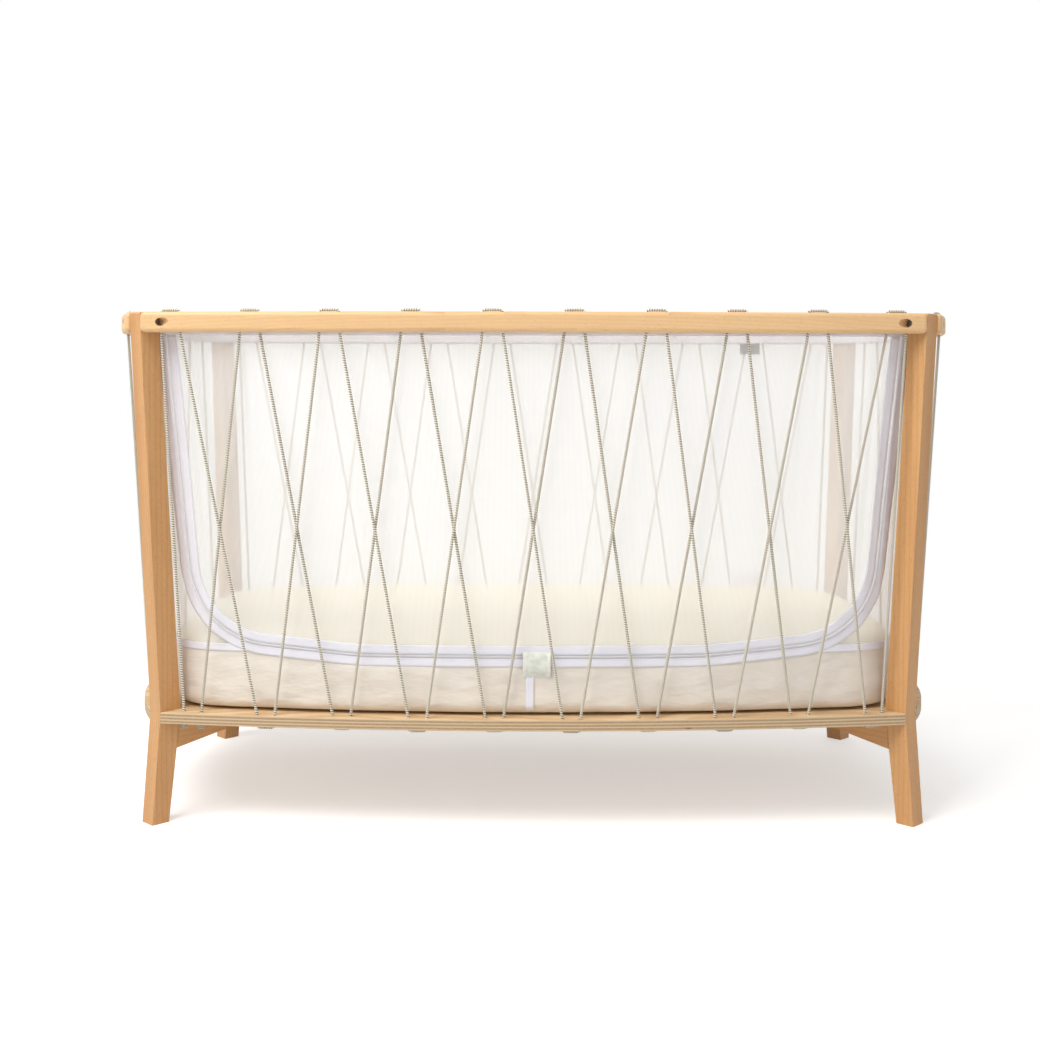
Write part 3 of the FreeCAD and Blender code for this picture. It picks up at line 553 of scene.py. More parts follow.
def cordTube(name, points, material):
    line = splineLine(name + "Line", points)
    grow = Growth("cordTube", {"Radius": lacing["diameter"] / 2, "Rib Pitch": lacing["ribPitch"],
                               "Rib Depth": lacing["ribDepth"], "Sides": lacing["sides"],
                               "Material": material})
    halfPitch = grow.math("DIVIDE", grow.size("Rib Pitch"), 2.0)
    evened = grow.node("GeometryNodeResampleCurve", {"mode": "LENGTH"},
                       {"Curve": grow.start.outputs[0], "Length": halfPitch}).outputs[0]
    parity = grow.math("MODULO", grow.node("GeometryNodeInputIndex").outputs[0], 2.0)
    narrow = grow.math("SUBTRACT", 1.0, grow.math("MULTIPLY", parity, grow.size("Rib Depth")))
    ribbed = grow.node("GeometryNodeSetCurveRadius", None,
                       {"Curve": evened, "Radius": narrow}).outputs[0]
    run = grow.node("GeometryNodeSplineParameter").outputs["Length"]
    marked = grow.store(ribbed, "cordRun", run)
    circle = grow.node("GeometryNodeCurvePrimitiveCircle", {"mode": "RADIUS"},
                       {"Resolution": grow.size("Sides"), "Radius": grow.size("Radius")}).outputs[0]
    turn = grow.node("GeometryNodeSplineParameter").outputs["Factor"]
    ringed = grow.store(circle, "cordTurn", turn)
    tube = grow.node("GeometryNodeCurveToMesh", None,
                     {"Curve": marked, "Profile Curve": ringed, "Fill Caps": True})
    if "Scale" in tube.inputs:
        radius = grow.node("GeometryNodeInputRadius").outputs[0]
        grow.tree.links.new(radius, tube.inputs["Scale"])
    softened = grow.node("GeometryNodeSetShadeSmooth", None, {"Geometry": tube.outputs[0]}).outputs[0]
    return grow.run(line, softened, name)


# elastic cord: a beige braided sleeve with fine cross ribs, with painted shade in the grooves between them
def cordFinish():
    look = {"pale": ink(251, 245, 229), "gap": ink(118, 108, 84), "ribPitch": lacing["ribPitch"]}
    f = Finish("elasticCord")
    run = f.node("ShaderNodeAttribute", {"attribute_name": "cordRun"}, None, "Fac")
    turn = f.node("ShaderNodeAttribute", {"attribute_name": "cordTurn"}, None, "Fac")
    twist = run / look["ribPitch"] + turn
    rib = twist.wave()
    weft = (turn * 24.0 - run / 0.0013).wave()
    fuzz = f.noise(f.coords(), 900.0, 2.0)
    light = (rib * 0.90 + weft * 0.06 + fuzz * 0.10).step(0.26, 0.76)
    # painted shade: the gap colour darkens the grooves between the ribs
    colour = f.mix(light, look["gap"], look["pale"])
    height = rib * 0.8 + weft * 0.2
    return f.surface(colour=colour, roughness=0.82, normal=f.bump(height, 0.0004),
                     sheen=0.25, sheenRoughness=0.5)


cordLook = cordFinish()
for body, isLong, sign in (("front", True, -1), ("back", True, 1), ("left", False, -1), ("right", False, 1)):
    route = [placed(isLong, sign, point) for point in eased(cordRoute(isLong))]
    cord = cordTube("lacingCord" + body.capitalize(), route, cordLook)
    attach(cord, "frame")
    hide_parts("lacing_cord_" + body)
    print(cord.name, len(cord.data.polygons))
print("cords laced")


# Wood: beech with fine fibre, faint year lines and short dark flecks, with painted shade on the posts and
# arms and painted light on the rails
def beechFinish(name, along, side, depth, shade=1.0, paintedLight=0.0):
    look = {"pale": ink(232, 184, 126), "warm": ink(211, 154, 96), "line": ink(186, 130, 80),
            "fleck": ink(158, 104, 66), "litTone": ink(247, 216, 168), "lineGap": 0.0052}
    f = Finish(name)
    place = f.coords()
    u, v, w = place.along(along), place.along(side), place.along(depth)
    drift = f.noise(f.vector(u * 1.6, v * 7.0, w * 7.0), 1.0, 3.0)
    slow = f.noise(f.vector(u * 0.9, v * 16.0, w * 16.0), 1.0, 2.0)
    fibre = f.noise(f.vector(u * 14.0, v * 900.0, w * 900.0), 1.0, 3.0, 0.6)
    pores = f.noise(f.vector(u * 60.0, v * 2300.0, w * 2300.0), 1.0, 1.0)
    rings = ((v * 0.55 + w * 0.83 + drift * 0.018) / look["lineGap"] * (2 * math.pi)).sine()
    line = rings.step(0.35, 1.0) * 0.42
    dash = f.noise(f.vector(u * 210.0, v * 1500.0, w * 1500.0), 1.0, 0.0).step(0.70, 0.78)
    colour = f.mix((slow * 0.75 + drift * 0.35).step(0.30, 0.78), look["pale"], look["warm"])
    colour = f.mix(line * (fibre * 0.8 + 0.3), colour, look["line"])
    colour = f.mix(fibre.step(0.42, 0.80) * 0.30, colour, look["line"])
    colour = f.mix(dash * 0.55, colour, look["fleck"])
    # painted shade: a shade below 1 darkens and warms the whole piece; the posts and arms are given it
    if shade != 1.0:
        colour = f.mix(1.0, colour, (shade, shade * 0.985, shade * 0.96, 1.0), "MULTIPLY")
    # painted light: the piece is lifted toward a paler lit tone; the rails are given it
    if paintedLight:
        colour = f.mix(paintedLight, colour, look["litTone"])
    height = fibre * 0.7 + pores * 0.5 - line * 0.5
    return f.surface(colour=colour, roughness=0.46 + fibre * 0.12 - dash * 0.05,
                     normal=f.bump(height, 0.00012), coat=0.22, coatRoughness=0.42)


def plyFinish():
    look = {"face": ink(220, 190, 150), "faceDark": ink(200, 166, 124), "ply": ink(209, 185, 150),
            "plyDark": ink(168, 136, 102), "glue": ink(126, 90, 62), "layers": 7}
    f = Finish("birchPly")
    place = f.coords()
    x, y, z = f.axes(place)
    isFlat = abs(f.split(f.coords("Normal"), 2)).step(0.55, 0.80)
    # the two faces: rotary veneer with wide wandering figure
    drift = f.noise(f.vector(x * 2.0, y * 6.0, z), 1.0, 4.0)
    figure = (y * 28.0 + drift * 9.0).wave()
    fibre = f.noise(f.vector(x * 16.0, y * 700.0, z * 50.0), 1.0, 3.0, 0.6)
    face = f.mix((figure * 0.6 + fibre * 0.5).step(0.2, 0.95), look["face"], look["faceDark"])
    # the edge: plies by height, every other one end grain
    bend = f.noise(f.vector(x * 9.0, y * 9.0, z * 30.0), 1.0, 2.0) * 0.0009
    layer = (z - crib["boardBottom"] + bend - 0.00045) * (look["layers"] / 0.018)
    within = layer.fract()
    isOdd = (layer * 0.5).fract().step(0.47, 0.53)
    endGrain = f.noise(f.vector(x * 700.0, y * 700.0, z * 260.0), 1.0, 2.0)
    longGrain = f.noise(f.vector(x * 30.0, y * 30.0, z * 2400.0), 1.0, 2.0)
    edge = f.mix(isOdd, f.mix(longGrain.step(0.3, 0.7) * 0.3, look["ply"], look["face"]),
                 f.mix(endGrain.step(0.25, 0.75) * 0.4 + 0.6, look["ply"], look["plyDark"]))
    glue = abs(within - 0.5).step(0.40, 0.49)
    edge = f.mix(glue * (endGrain * 0.5 + 0.1), edge, look["glue"])
    # a few small dark gaps in the inner plies
    gap = f.noise(f.vector(x * 26.0, y * 26.0, layer.sum("FLOOR", layer) * 7.3), 1.0, 0.0).step(0.80, 0.83)
    edge = f.mix(gap * isOdd * 0.8, edge, look["glue"])
    colour = f.mix(isFlat, edge, face)
    height = fibre * isFlat + (endGrain * 0.6 - glue * 0.8) * (1.0 - isFlat)
    return f.surface(colour=colour, roughness=0.55 + fibre * 0.1, normal=f.bump(height, 0.0002))


def steelFinish():
    f = Finish("darkSteel")
    place = f.coords()
    grain = f.noise(place, 420.0, 3.0)
    worn = f.noise(place, 90.0, 2.0).step(0.55, 0.75)
    colour = f.mix(grain, ink(96, 92, 88), ink(142, 138, 132))
    colour = f.mix(worn * 0.4, colour, ink(176, 170, 160))
    return f.surface(colour=colour, metallic=1.0, roughness=0.34 + grain * 0.18,
                     normal=f.bump(grain, 0.00005))


def brassFinish():
    f = Finish("insertBrass")
    place = f.coords()
    grain = f.noise(place, 300.0, 3.0)
    return f.surface(colour=f.mix(grain, ink(186, 148, 80), ink(214, 178, 104)), metallic=1.0,
                     roughness=0.30 + grain * 0.2, normal=f.bump(grain, 0.00006))


def wear(node, material):
    piece = nodes[node]
    if not piece.material_slots:
        piece.data.materials.append(material)
    for slot in piece.material_slots:
        slot.material = material


up = (0.0, 0.0, 1.0)
postLean = 0.042            # run out to each side for a metre of rise
for end, endSign in (("left", -1), ("right", 1)):
    for face, faceSign in (("front", -1), ("back", 1)):
        inPlane = (endSign * diagonal, faceSign * diagonal, 0.0)
        across = (endSign * diagonal, -faceSign * diagonal, 0.0)
        lean = Vector((endSign * postLean, faceSign * postLean, 1.0)).normalized()
        corner = face.capitalize() + end.capitalize()
        # the posts and arms get painted shade
        wear(f"post_{face}_{end}", beechFinish("beechPost" + corner, lean, inPlane, across, 0.93))
        wear(f"arm_{face}_{end}", beechFinish("beechArm" + corner, inPlane, up, across, 0.92))
# the rails get painted light
longBeech = beechFinish("beechLongRail", (1.0, 0.0, 0.0), (0.0, 1.0, 0.0), up, paintedLight=0.38)
endBeech = beechFinish("beechEndRail", (0.0, 1.0, 0.0), (1.0, 0.0, 0.0), up, paintedLight=0.38)
for node in ("rail_front", "rail_back"):
    wear(node, longBeech)
for node in ("rail_left", "rail_right"):
    wear(node, endBeech)
wear("arm_dowels", beechFinish("beechDowels", (diagonal, diagonal, 0.0), (diagonal, -diagonal, 0.0), up))
wear("base_board", plyFinish())
steel = steelFinish()
for node in ("rail_bolts", "board_screws"):
    wear(node, steel)
wear("threaded_inserts", brassFinish())
print("wood and steel finished")


# Cloth
def clothFinish(name, pale, deep, thread, weave=0.35, creaseShade=None, wrinkle=0.001):
    # plain weave read from the piece's own cloth map, in metres
    f = Finish(name)
    u, v = f.axes(f.coords("UV"), 2)
    place = f.coords()
    warp = (u / thread).wave()
    weft = (v / thread).wave()
    knit = warp * weft + (1.0 - warp) * (1.0 - weft)
    slub = f.noise(f.vector(u * 60.0, v * 900.0, 0.0), 1.0, 2.0)
    crease = f.noise(place, 9.0, 3.0)
    # painted crease light and shade: the crease noise lifts the colour toward the pale tone and, where it is
    # high, pulls it toward the crease shade colour
    shade = (knit * weave + slub * 0.35 + crease * 0.35).step(0.15, 0.85)
    colour = f.mix(shade, deep, pale)
    if creaseShade is not None:
        colour = f.mix(crease.step(0.45, 0.75) * 0.35, colour, creaseShade)
    # height in metres: the threads, and slanting soft creases
    x, y, z = f.axes(place)
    pull = f.noise(f.vector(x * 9.0 + z * 13.0, y * 9.0 - z * 6.0, z * 24.0 - x * 7.0), 1.0, 3.0, 0.55)
    height = (knit * 0.6 + slub * 0.4) * 0.00012 + pull * wrinkle
    return f.surface(colour=colour, roughness=0.9, normal=f.bump(height, 1.0),
                     sheen=0.15, sheenRoughness=0.6)


# the cotton's crease shade colour is painted shade
cotton = clothFinish("creamCotton", ink(243, 236, 226), ink(224, 214, 201), 0.0009, creaseShade=ink(228, 217, 205),
                     wrinkle=0.007)
tape = clothFinish("whiteTape", ink(246, 245, 251), ink(222, 219, 232), 0.0011, weave=0.55)


def borderedTag():
    # bare cloth square with a paler turned edge and a rubbed middle
    f = Finish("tagCloth")
    u, v = f.axes(f.coords("UV"), 2)
    fromMiddle = abs(u - 0.0225).sum("MAXIMUM", abs(u - 0.0225), abs(v - 0.0230))
    border = fromMiddle.step(0.0158, 0.0182)
    rubbed = f.noise(f.vector(u * 70.0, v * 150.0, 0.0), 1.0, 2.0).step(0.38, 0.68)
    knit = ((u + v) / 0.0008).wave()
    inner = f.mix(rubbed, ink(232, 234, 224), ink(211, 218, 205))
    colour = f.mix(border, inner, ink(240, 241, 233))
    return f.surface(colour=colour, roughness=0.88, normal=f.bump(knit * 0.00008 + border * 0.0004, 1.0),
                     sheen=0.15, sheenRoughness=0.6)


tag = borderedTag()
greyTag = clothFinish("greyTagCloth", ink(150, 148, 148), ink(124, 122, 124), 0.0008, weave=0.3)


def netFinish():
    # fine knitted net: white threads round small holes
    look = {"hole": 0.0019, "thin": 0.38, "thick": 0.54}
    f = Finish("fineNet")
    u, v = f.axes(f.coords("UV"), 2)
    turn = 2 * math.pi / look["hole"]
    ways = (u * turn, u * (turn * 0.5) + v * (turn * 0.8660), u * (turn * 0.5) - v * (turn * 0.8660))
    first, second, third = (way.sum("COSINE", way) for way in ways)
    thread = 1.0 - (first + second + third).step(-0.9, 1.6)
    soft = f.noise(f.coords(), 5.0, 2.0)
    alpha = thread * (look["thick"] - look["thin"]) + look["thin"] + (soft - 0.5) * 0.10
    colour = f.mix(soft, ink(255, 254, 252), ink(250, 249, 248))
    return f.surface(colour=colour, roughness=0.75, alpha=alpha, sheen=0.2, sheenRoughness=0.4,
                     normal=f.bump(thread, 0.0002))


net = netFinish()


# rings that the cloth follows, matched point for point
perSide, perCorner = 96, 24
footRing = netFoot.ring(perSide, perCorner)
topRing = netTop.ring(perSide, perCorner)
ringCount = len(footRing)
quarterCount = ringCount // 4
cornerMark = perSide // 2 + perCorner // 2          # seam in the middle of each round corner


def ringNormal(ring):
    ahead = np.roll(ring, -1, 0) - np.roll(ring, 1, 0)
    normal = np.stack([ahead[:, 1], -ahead[:, 0]], 1)
    return normal / np.linalg.norm(normal, axis=1)[:, None]


footNormal, topNormal = ringNormal(footRing), ringNormal(topRing)
seams = {"right": (-cornerMark, cornerMark), "back": (cornerMark, 2 * quarterCount - cornerMark),
         "left": (2 * quarterCount - cornerMark, 2 * quarterCount + cornerMark),
         "front": (2 * quarterCount + cornerMark, 4 * quarterCount - cornerMark)}
rise = crib["hemFoot"] - crib["seam"]
# The nets: how far they run out as they rise, and how deep and far apart their folds are
netLook = {"lean": 0.05, "gather": 0.0034, "gatherWide": 0.034, "gatherFine": 0.021, "slack": 0.0022,
           "tuck": 0.0020}
netSlope = math.hypot(rise, netLook["lean"])


def heightShare(z):
    return (z - crib["seam"]) / rise


def ringLevel(t, indexes):
    # the cloth's ring at one height, before its folds
    picked = np.array(indexes) % ringCount
    return footRing[picked] * (1 - t) + topRing[picked] * t


def runAlong(points):
    # length from the start of a line to each of its points
    return np.concatenate([[0.0], np.cumsum(np.linalg.norm(np.diff(points, axis=0), axis=1))])


def closedRun(ring):
    return runAlong(np.concatenate([ring, ring[:1]]))


def fold(x, y, t):
    # soft gathers near the corners and a slight slackness between, pinned at both edges
    held = math.sin(math.pi * min(max(t, 0.0), 1.0)) ** 0.6
    nearCorner = float(smooth(0.46, 0.60, abs(x)) * smooth(0.10, 0.24, abs(y)))
    run = x * 1.0 + y * (1.0 if x * y < 0 else -1.0)
    lean = 0.02 * math.sin(5.0 * x + 9.0 * y)
    gather = (math.sin((run + lean * t) * 2 * math.pi / netLook["gatherWide"]) * 0.6
              + math.sin(run * 2 * math.pi / netLook["gatherFine"] + 1.3) * 0.4)
    slack = (math.sin(x * 9.0 + 2.0 * t) * math.sin(y * 7.0 + x * 4.0 + 1.0) * 0.5
             + math.sin(x * 23.0 + 5.0 * t) * 0.25)
    rising = 0.35 + 0.65 * t
    return held * (gather * netLook["gather"] * nearCorner * rising + slack * netLook["slack"]
                   - netLook["tuck"] * nearCorner)


def ringPoint(index, t, out=0.0):
    # index along the ring (may be fractional), t from the seam (0) to the hem (1)
    here = int(math.floor(index)) % ringCount
    after = (here + 1) % ringCount
    share = index - math.floor(index)
    foot, top, footOut, topOut = (ring[here] * (1 - share) + ring[after] * share
                                  for ring in (footRing, topRing, footNormal, topNormal))
    normal = footOut * (1 - t) + topOut * t
    flat = foot * (1 - t) + top * t
    shift = fold(flat[0], flat[1], t) + out
    return (flat[0] + normal[0] * shift, flat[1] + normal[1] * shift, crib["seam"] + rise * t)


def ringLength(ring, start, end):
    picked = np.array([ring[i % ringCount] for i in range(start, end + 1)])
    return float(np.linalg.norm(np.diff(picked, axis=0), axis=1).sum())


def netSide(name, start, end, rows=40, perStep=2):
    cols = (end - start) * perStep + 1
    points = np.zeros((rows + 1, cols, 3))
    for j in range(rows + 1):
        t = j / rows
        for i in range(cols):
            points[j, i] = ringPoint(start + i / perStep, t)
    width = ringLength(footRing, start, end)
    step = width / (cols - 1)
    mesh = gridMesh(name, points, uv=lambda row, col: (col * step, row / rows * netSlope))
    mesh.materials.append(net)
    return newObject(name, mesh), width, ringLength(topRing, start, end)


netSheets = {"back": "net_back", "left": "net_left", "right": "net_right"}
for side, node in netSheets.items():
    piece, footWidth, topWidth = netSide("net" + side.capitalize(), *seams[side])
    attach(piece, "frame")
    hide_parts(node)
    "hem_" + side
    print(piece.name, round(footWidth, 3), round(topWidth, 3), round(netSlope, 3))


# Zip: a U round the door in the front net
door = {"topHalf": 0.596, "cornerHalf": 0.553, "cornerHeight": 0.301, "cornerRadius": 0.140,
        "flatHalf": 0.280, "bendRadius": 0.600, "height": 0.277}


def doorLine():
    # half of the U as x, z from its top right down to the middle, with its bends rounded
    stops = [Vector((door["topHalf"], crib["hemFoot"])), Vector((door["cornerHalf"], door["cornerHeight"])),
             Vector((door["flatHalf"], door["height"])), Vector((0.0, door["height"]))]
    line = [stops[0]]
    for before, corner, after, radius in ((stops[0], stops[1], stops[2], door["cornerRadius"]),
                                          (stops[1], stops[2], stops[3], door["bendRadius"])):
        back = (before - corner).normalized()
        ahead = (after - corner).normalized()
        half = math.acos(max(-1.0, min(1.0, back.dot(ahead)))) / 2
        setback = radius / math.tan(half)
        centre = corner + (back + ahead).normalized() * (radius / math.sin(half))
        first, last = corner + back * setback, corner + ahead * setback
        firstAngle = math.atan2(*(first - centre).yx)
        lastAngle = math.atan2(*(last - centre).yx)
        for k in range(25):
            angle = firstAngle + (lastAngle - firstAngle) * k / 24
            line.append(centre + Vector((math.cos(angle), math.sin(angle))) * radius)
    line.append(stops[3])
    return line


def evenly(line, step):
    points = np.array([tuple(p) for p in line])
    runs = runAlong(points)
    count = max(2, int(round(runs[-1] / step)))
    marks = np.linspace(0.0, runs[-1], count + 1)
    return np.stack([np.interp(marks, runs, points[:, k]) for k in range(points.shape[1])], 1)


halfDoor = np.array([tuple(p) for p in doorLine()])
wholeDoor = np.concatenate([halfDoor, np.stack([-halfDoor[-2::-1, 0], halfDoor[-2::-1, 1]], 1)])
frontIndex = np.arange(seams["front"][0] - perCorner // 2, seams["front"][1] + perCorner // 2 + 1)
coverRing = coverFace.ring(perSide, perCorner)


def rowIndex(z, xs):
    return np.interp(xs, ringLevel(heightShare(z), frontIndex)[:, 0], frontIndex)


def frontPoint(x, z, out):
    # a point on the front cloth at x, z, out in front of it
    if z < crib["seam"]:
        ring = coverRing[frontIndex % ringCount]
        return (x, float(np.interp(x, ring[:, 0], ring[:, 1])) - out, z)
    return ringPoint(float(rowIndex(z, x)), heightShare(z), out)


footRun = closedRun(footRing)


def runAt(index):
    base = math.floor(index / ringCount)
    return base * footRun[-1] + float(np.interp(index - base * ringCount, np.arange(ringCount + 1), footRun))


def frontNet(name, spans, cols):
    # spans: for each row its height and first and last ring index
    points = np.zeros((len(spans), cols + 1, 3))
    places = {}
    for j, (z, first, last) in enumerate(spans):
        t = heightShare(z)
        for i in range(cols + 1):
            index = first + (last - first) * i / cols
            points[j, i] = ringPoint(index, t)
            places[j, i] = (runAt(index), t * netSlope)
    mesh = gridMesh(name, points, uv=lambda row, col: places[row, col])
    mesh.materials.append(net)
    piece = newObject(name, mesh)
    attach(piece, "frame")
    return piece, sum(face.area for face in mesh.polygons)


doorEdge = evenly(halfDoor, 0.008)
# half the width of the zip's U at the seam
seamHalf = float(np.interp(crib["seam"], doorEdge[::-1, 1], doorEdge[::-1, 0]))
doorRows = [(seamHalf, crib["seam"])] + [(x, z) for x, z in doorEdge if z > crib["seam"] + 0.0004][::-1]
doorSpans, leftSpans, rightSpans = [], [], []
for half, z in doorRows:
    first, last = rowIndex(z, [-half, half])
    doorSpans.append((z, first, last))
    leftSpans.append((z, seams["front"][0], first))
    rightSpans.append((z, last, seams["front"][1]))
for name, node, spans, cols, flat in (
        ("netDoor", "net_door", doorSpans, 220, (1.22, 0.53)),
        ("netFrontLeft", "net_front_left", leftSpans, 36, (0.62, 0.07)),
        ("netFrontRight", "net_front_right", rightSpans, 36, (0.62, 0.07))):
    piece, area = frontNet(name, spans, cols)
    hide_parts(node)
    print(name, round(area, 4))


def frontCloth(x, z, out):
    if z >= crib["seam"]:
        return frontPoint(x, min(z, crib["hemFoot"] - 0.0003), out + cloths["net"])
    return frontPoint(x, z, out)


def doorStrip(name, inner, outer, out, material, columns=4, step=0.006):
    line = evenly(wholeDoor, step)
    ahead = np.gradient(line, axis=0)
    ahead /= np.linalg.norm(ahead, axis=1)[:, None]
    outward = np.stack([-ahead[:, 1], ahead[:, 0]], 1)
    if outward[len(line) // 2][1] > 0:
        outward = -outward
    points = np.zeros((columns + 1, len(line), 3))
    for j in range(columns + 1):
        shift = inner + (outer - inner) * j / columns
        for i, (x, z) in enumerate(line):
            pucker = 0.00018 * math.sin(i * 2.1) * (j / columns if outer > 0 else 1 - j / columns)
            points[j, i] = frontCloth(x + outward[i][0] * shift, z + outward[i][1] * shift, out + pucker)
    mesh = gridMesh(name, points, uv=lambda row, col: (col * step, inner + (outer - inner) * row / columns))
    mesh.materials.append(material)
    return newObject(name, mesh), line, outward


def sewn(piece, node, flat, restsOn, thickness=0.0006):
    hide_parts(node)
    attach(piece, "frame")
    solidify(piece, thickness)


zipLook = {"tapeWidth": 0.0175, "split": 0.0022, "tapeOut": 0.0007, "coilOut": 0.0016,
           "toothPitch": 0.0018, "toothLong": 0.0015, "toothAcross": 0.0034, "toothTall": 0.0014}
zipRun = float(np.linalg.norm(np.diff(wholeDoor, axis=0), axis=1).sum())
tapeOuter, zipLine, zipOut = doorStrip("zipTapeOuter", zipLook["split"], zipLook["tapeWidth"],
                                       zipLook["tapeOut"], tape)
sewn(tapeOuter, "zip_tape_outer", (0.0155, zipRun), ["net_front_left", "net_front_right", "base_cover"])
tapeInner, _, _ = doorStrip("zipTapeInner", -zipLook["tapeWidth"], -zipLook["split"],
                            zipLook["tapeOut"], tape)
sewn(tapeInner, "zip_tape_inner", (0.0155, zipRun), ["net_door"])


def polyLine(name, lines):
    curve = bpy.data.curves.new(name, "CURVE")
    curve.dimensions = "3D"
    for points in lines:
        spline = curve.splines.new("POLY")
        spline.points.add(len(points) - 1)
        for slot, point in zip(spline.points, points):
            slot.co = (*point, 1.0)
    return newObject(name, curve)


def seed(name, size, bevel):
    # a small rounded bar, X along the path, Y across it, Z up off it
    mesh = bpy.data.meshes.new(name)
    shape = bmesh.new()
    bmesh.ops.create_cube(shape, size=1.0)
    bmesh.ops.scale(shape, vec=size, verts=shape.verts)
    bmesh.ops.bevel(shape, geom=shape.edges[:], offset=bevel, segments=1, affect="EDGES")
    shape.to_mesh(mesh)
    shape.free()
    mesh.polygons.foreach_set("use_smooth", [True] * len(mesh.polygons))
    return newObject(name, mesh)


def beadRow(name, lines, bead, pitch, material, out=(0.0, -1.0, 0.0), sway=0.0):
    # repeats one bead along lines; sway shifts every other bead sideways
    path = polyLine(name + "Path", lines)
    grow = Growth("beadRow", {"Pitch": pitch, "Sway": sway, "Bead": bead, "Material": material})
    spread = grow.node("GeometryNodeCurveToPoints", {"mode": "LENGTH"},
                       {"Curve": grow.start.outputs[0], "Length": grow.size("Pitch")})
    facing = grow.node("FunctionNodeAlignRotationToVector", {"axis": "Z"}, {"Vector": out})
    turned = grow.node("FunctionNodeAlignRotationToVector", {"axis": "X", "pivot_axis": "Z"},
                       {"Rotation": facing.outputs[0], "Vector": spread.outputs["Tangent"]})
    info = grow.node("GeometryNodeObjectInfo", None, {"Object": grow.size("Bead"), "As Instance": True})
    instances = grow.node("GeometryNodeInstanceOnPoints", None,
                          {"Points": spread.outputs["Points"], "Instance": info.outputs["Geometry"],
                           "Rotation": turned.outputs[0]})
    parity = grow.math("MODULO", grow.node("GeometryNodeInputIndex").outputs[0], 2.0)
    sideways = grow.math("MULTIPLY", grow.math("SUBTRACT", parity, 0.5), grow.size("Sway"))
    offset = grow.node("ShaderNodeCombineXYZ", None, {1: sideways})
    moved = grow.node("GeometryNodeTranslateInstances", None,
                      {"Instances": instances.outputs[0], "Translation": offset.outputs[0],
                       "Local Space": True})
    made = grow.run(path, moved.outputs[0], name)
    bpy.data.objects.remove(bead)
    return made


def nylonFinish(name, pale, deep):
    f = Finish(name)
    grain = f.noise(f.coords(), 700.0, 2.0)
    return f.surface(colour=f.mix(grain, deep, pale), roughness=0.42 + grain * 0.1,
                     normal=f.bump(grain, 0.00004), coat=0.15, coatRoughness=0.3)


coilNylon = nylonFinish("coilNylon", ink(247, 246, 250), ink(226, 225, 231))
snapNylon = nylonFinish("snapNylon", ink(244, 243, 242), ink(228, 227, 226))
sliderEnamel = nylonFinish("sliderEnamel", ink(214, 214, 216), ink(186, 186, 190))
wear("hem_snaps", snapNylon)

coilPath = [frontCloth(x, z, zipLook["coilOut"]) for x, z in evenly(wholeDoor, 0.004)]
tooth = seed("tooth", (zipLook["toothLong"], zipLook["toothAcross"], zipLook["toothTall"]), 0.0003)
coil = beadRow("zipCoil", [coilPath], tooth, zipLook["toothPitch"], coilNylon, sway=0.0006)
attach(coil, "frame")
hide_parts("zip_coil")
print("zip", round(zipRun, 3), len(coil.data.polygons))


# Sliders: a waisted body with a bridge and a small pull
sliderLook = {"body": (0.0125, 0.0015, 0.0078), "bodyOut": 0.0016, "squeeze": 0.3,
              "bridge": (0.00625, 0.0011, 0.0022), "bridgeOut": 0.0004,
              "pull": (0.0052, 0.0007, 0.0160), "pullOut": -0.0002, "pullDrop": 0.45}


def sliderPiece(name, node):
    low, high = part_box(node)
    middle = (low + high) / 2
    shape = bmesh.new()

    def block(size, place, bevel, squeeze=0.0):
        made = bmesh.ops.create_cube(shape, size=1.0)["verts"]
        bmesh.ops.scale(shape, vec=size, verts=made)
        for vert in made:
            if squeeze and vert.co.x > 0:
                vert.co.z *= 1.0 - squeeze
        bmesh.ops.translate(shape, vec=place, verts=made)
        edges = list({edge for vert in made for edge in vert.link_edges})
        bmesh.ops.bevel(shape, geom=edges, offset=bevel, segments=3, affect="EDGES")

    front, pull = low.y, sliderLook["pull"]
    block(sliderLook["body"], (middle.x, front + sliderLook["bodyOut"], middle.z), 0.0006,
          sliderLook["squeeze"])
    block(sliderLook["bridge"], (middle.x, front + sliderLook["bridgeOut"], middle.z), 0.0004)
    block(pull, (middle.x, front + sliderLook["pullOut"], middle.z - pull[2] * sliderLook["pullDrop"]),
          0.0003)
    mesh = bpy.data.meshes.new(name)
    shape.to_mesh(mesh)
    shape.free()
    mesh.materials.append(sliderEnamel)
    mesh.polygons.foreach_set("use_smooth", [True] * len(mesh.polygons))
    piece = newObject(name, mesh)
    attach(piece, node)
    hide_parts(node)


sliderPiece("zipSliderLeft", "zip_slider_left")
sliderPiece("zipSliderRight", "zip_slider_right")


# Base cover: a cotton tray with soft creases, on the board
coverLook = {"foot": 0.1813, "radius": 0.016, "lift": 0.0034, "reach": 0.034, "crease": 0.0042}
bedRing = coverFace.ring(180, 20)
bedNormal = ringNormal(bedRing)
bedCount = len(bedRing)
bedRun = closedRun(bedRing)


def creaseAt(x, y, z):
    # long shallow creases, none under the zip, the ribbon or the seam
    broad = Vector((x * 7.0, y * 7.0, z * 16.0))
    lean = Vector((x * 15.0 + z * 26.0, y * 12.0 - z * 14.0, z * 6.0 + 3.0))
    value = noise.noise(broad) * 0.6 + noise.noise(lean) * 0.7 + noise.noise(lean * 2.3) * 0.22
    free = 1.0 - float(smooth(0.250, 0.266, z))
    ribbon = float(smooth(0.012, 0.030, abs(x + 0.003))) if y < 0 else 1.0
    return max(0.0, value + 0.12) * coverLook["crease"] * free * (0.10 + 0.90 * ribbon)


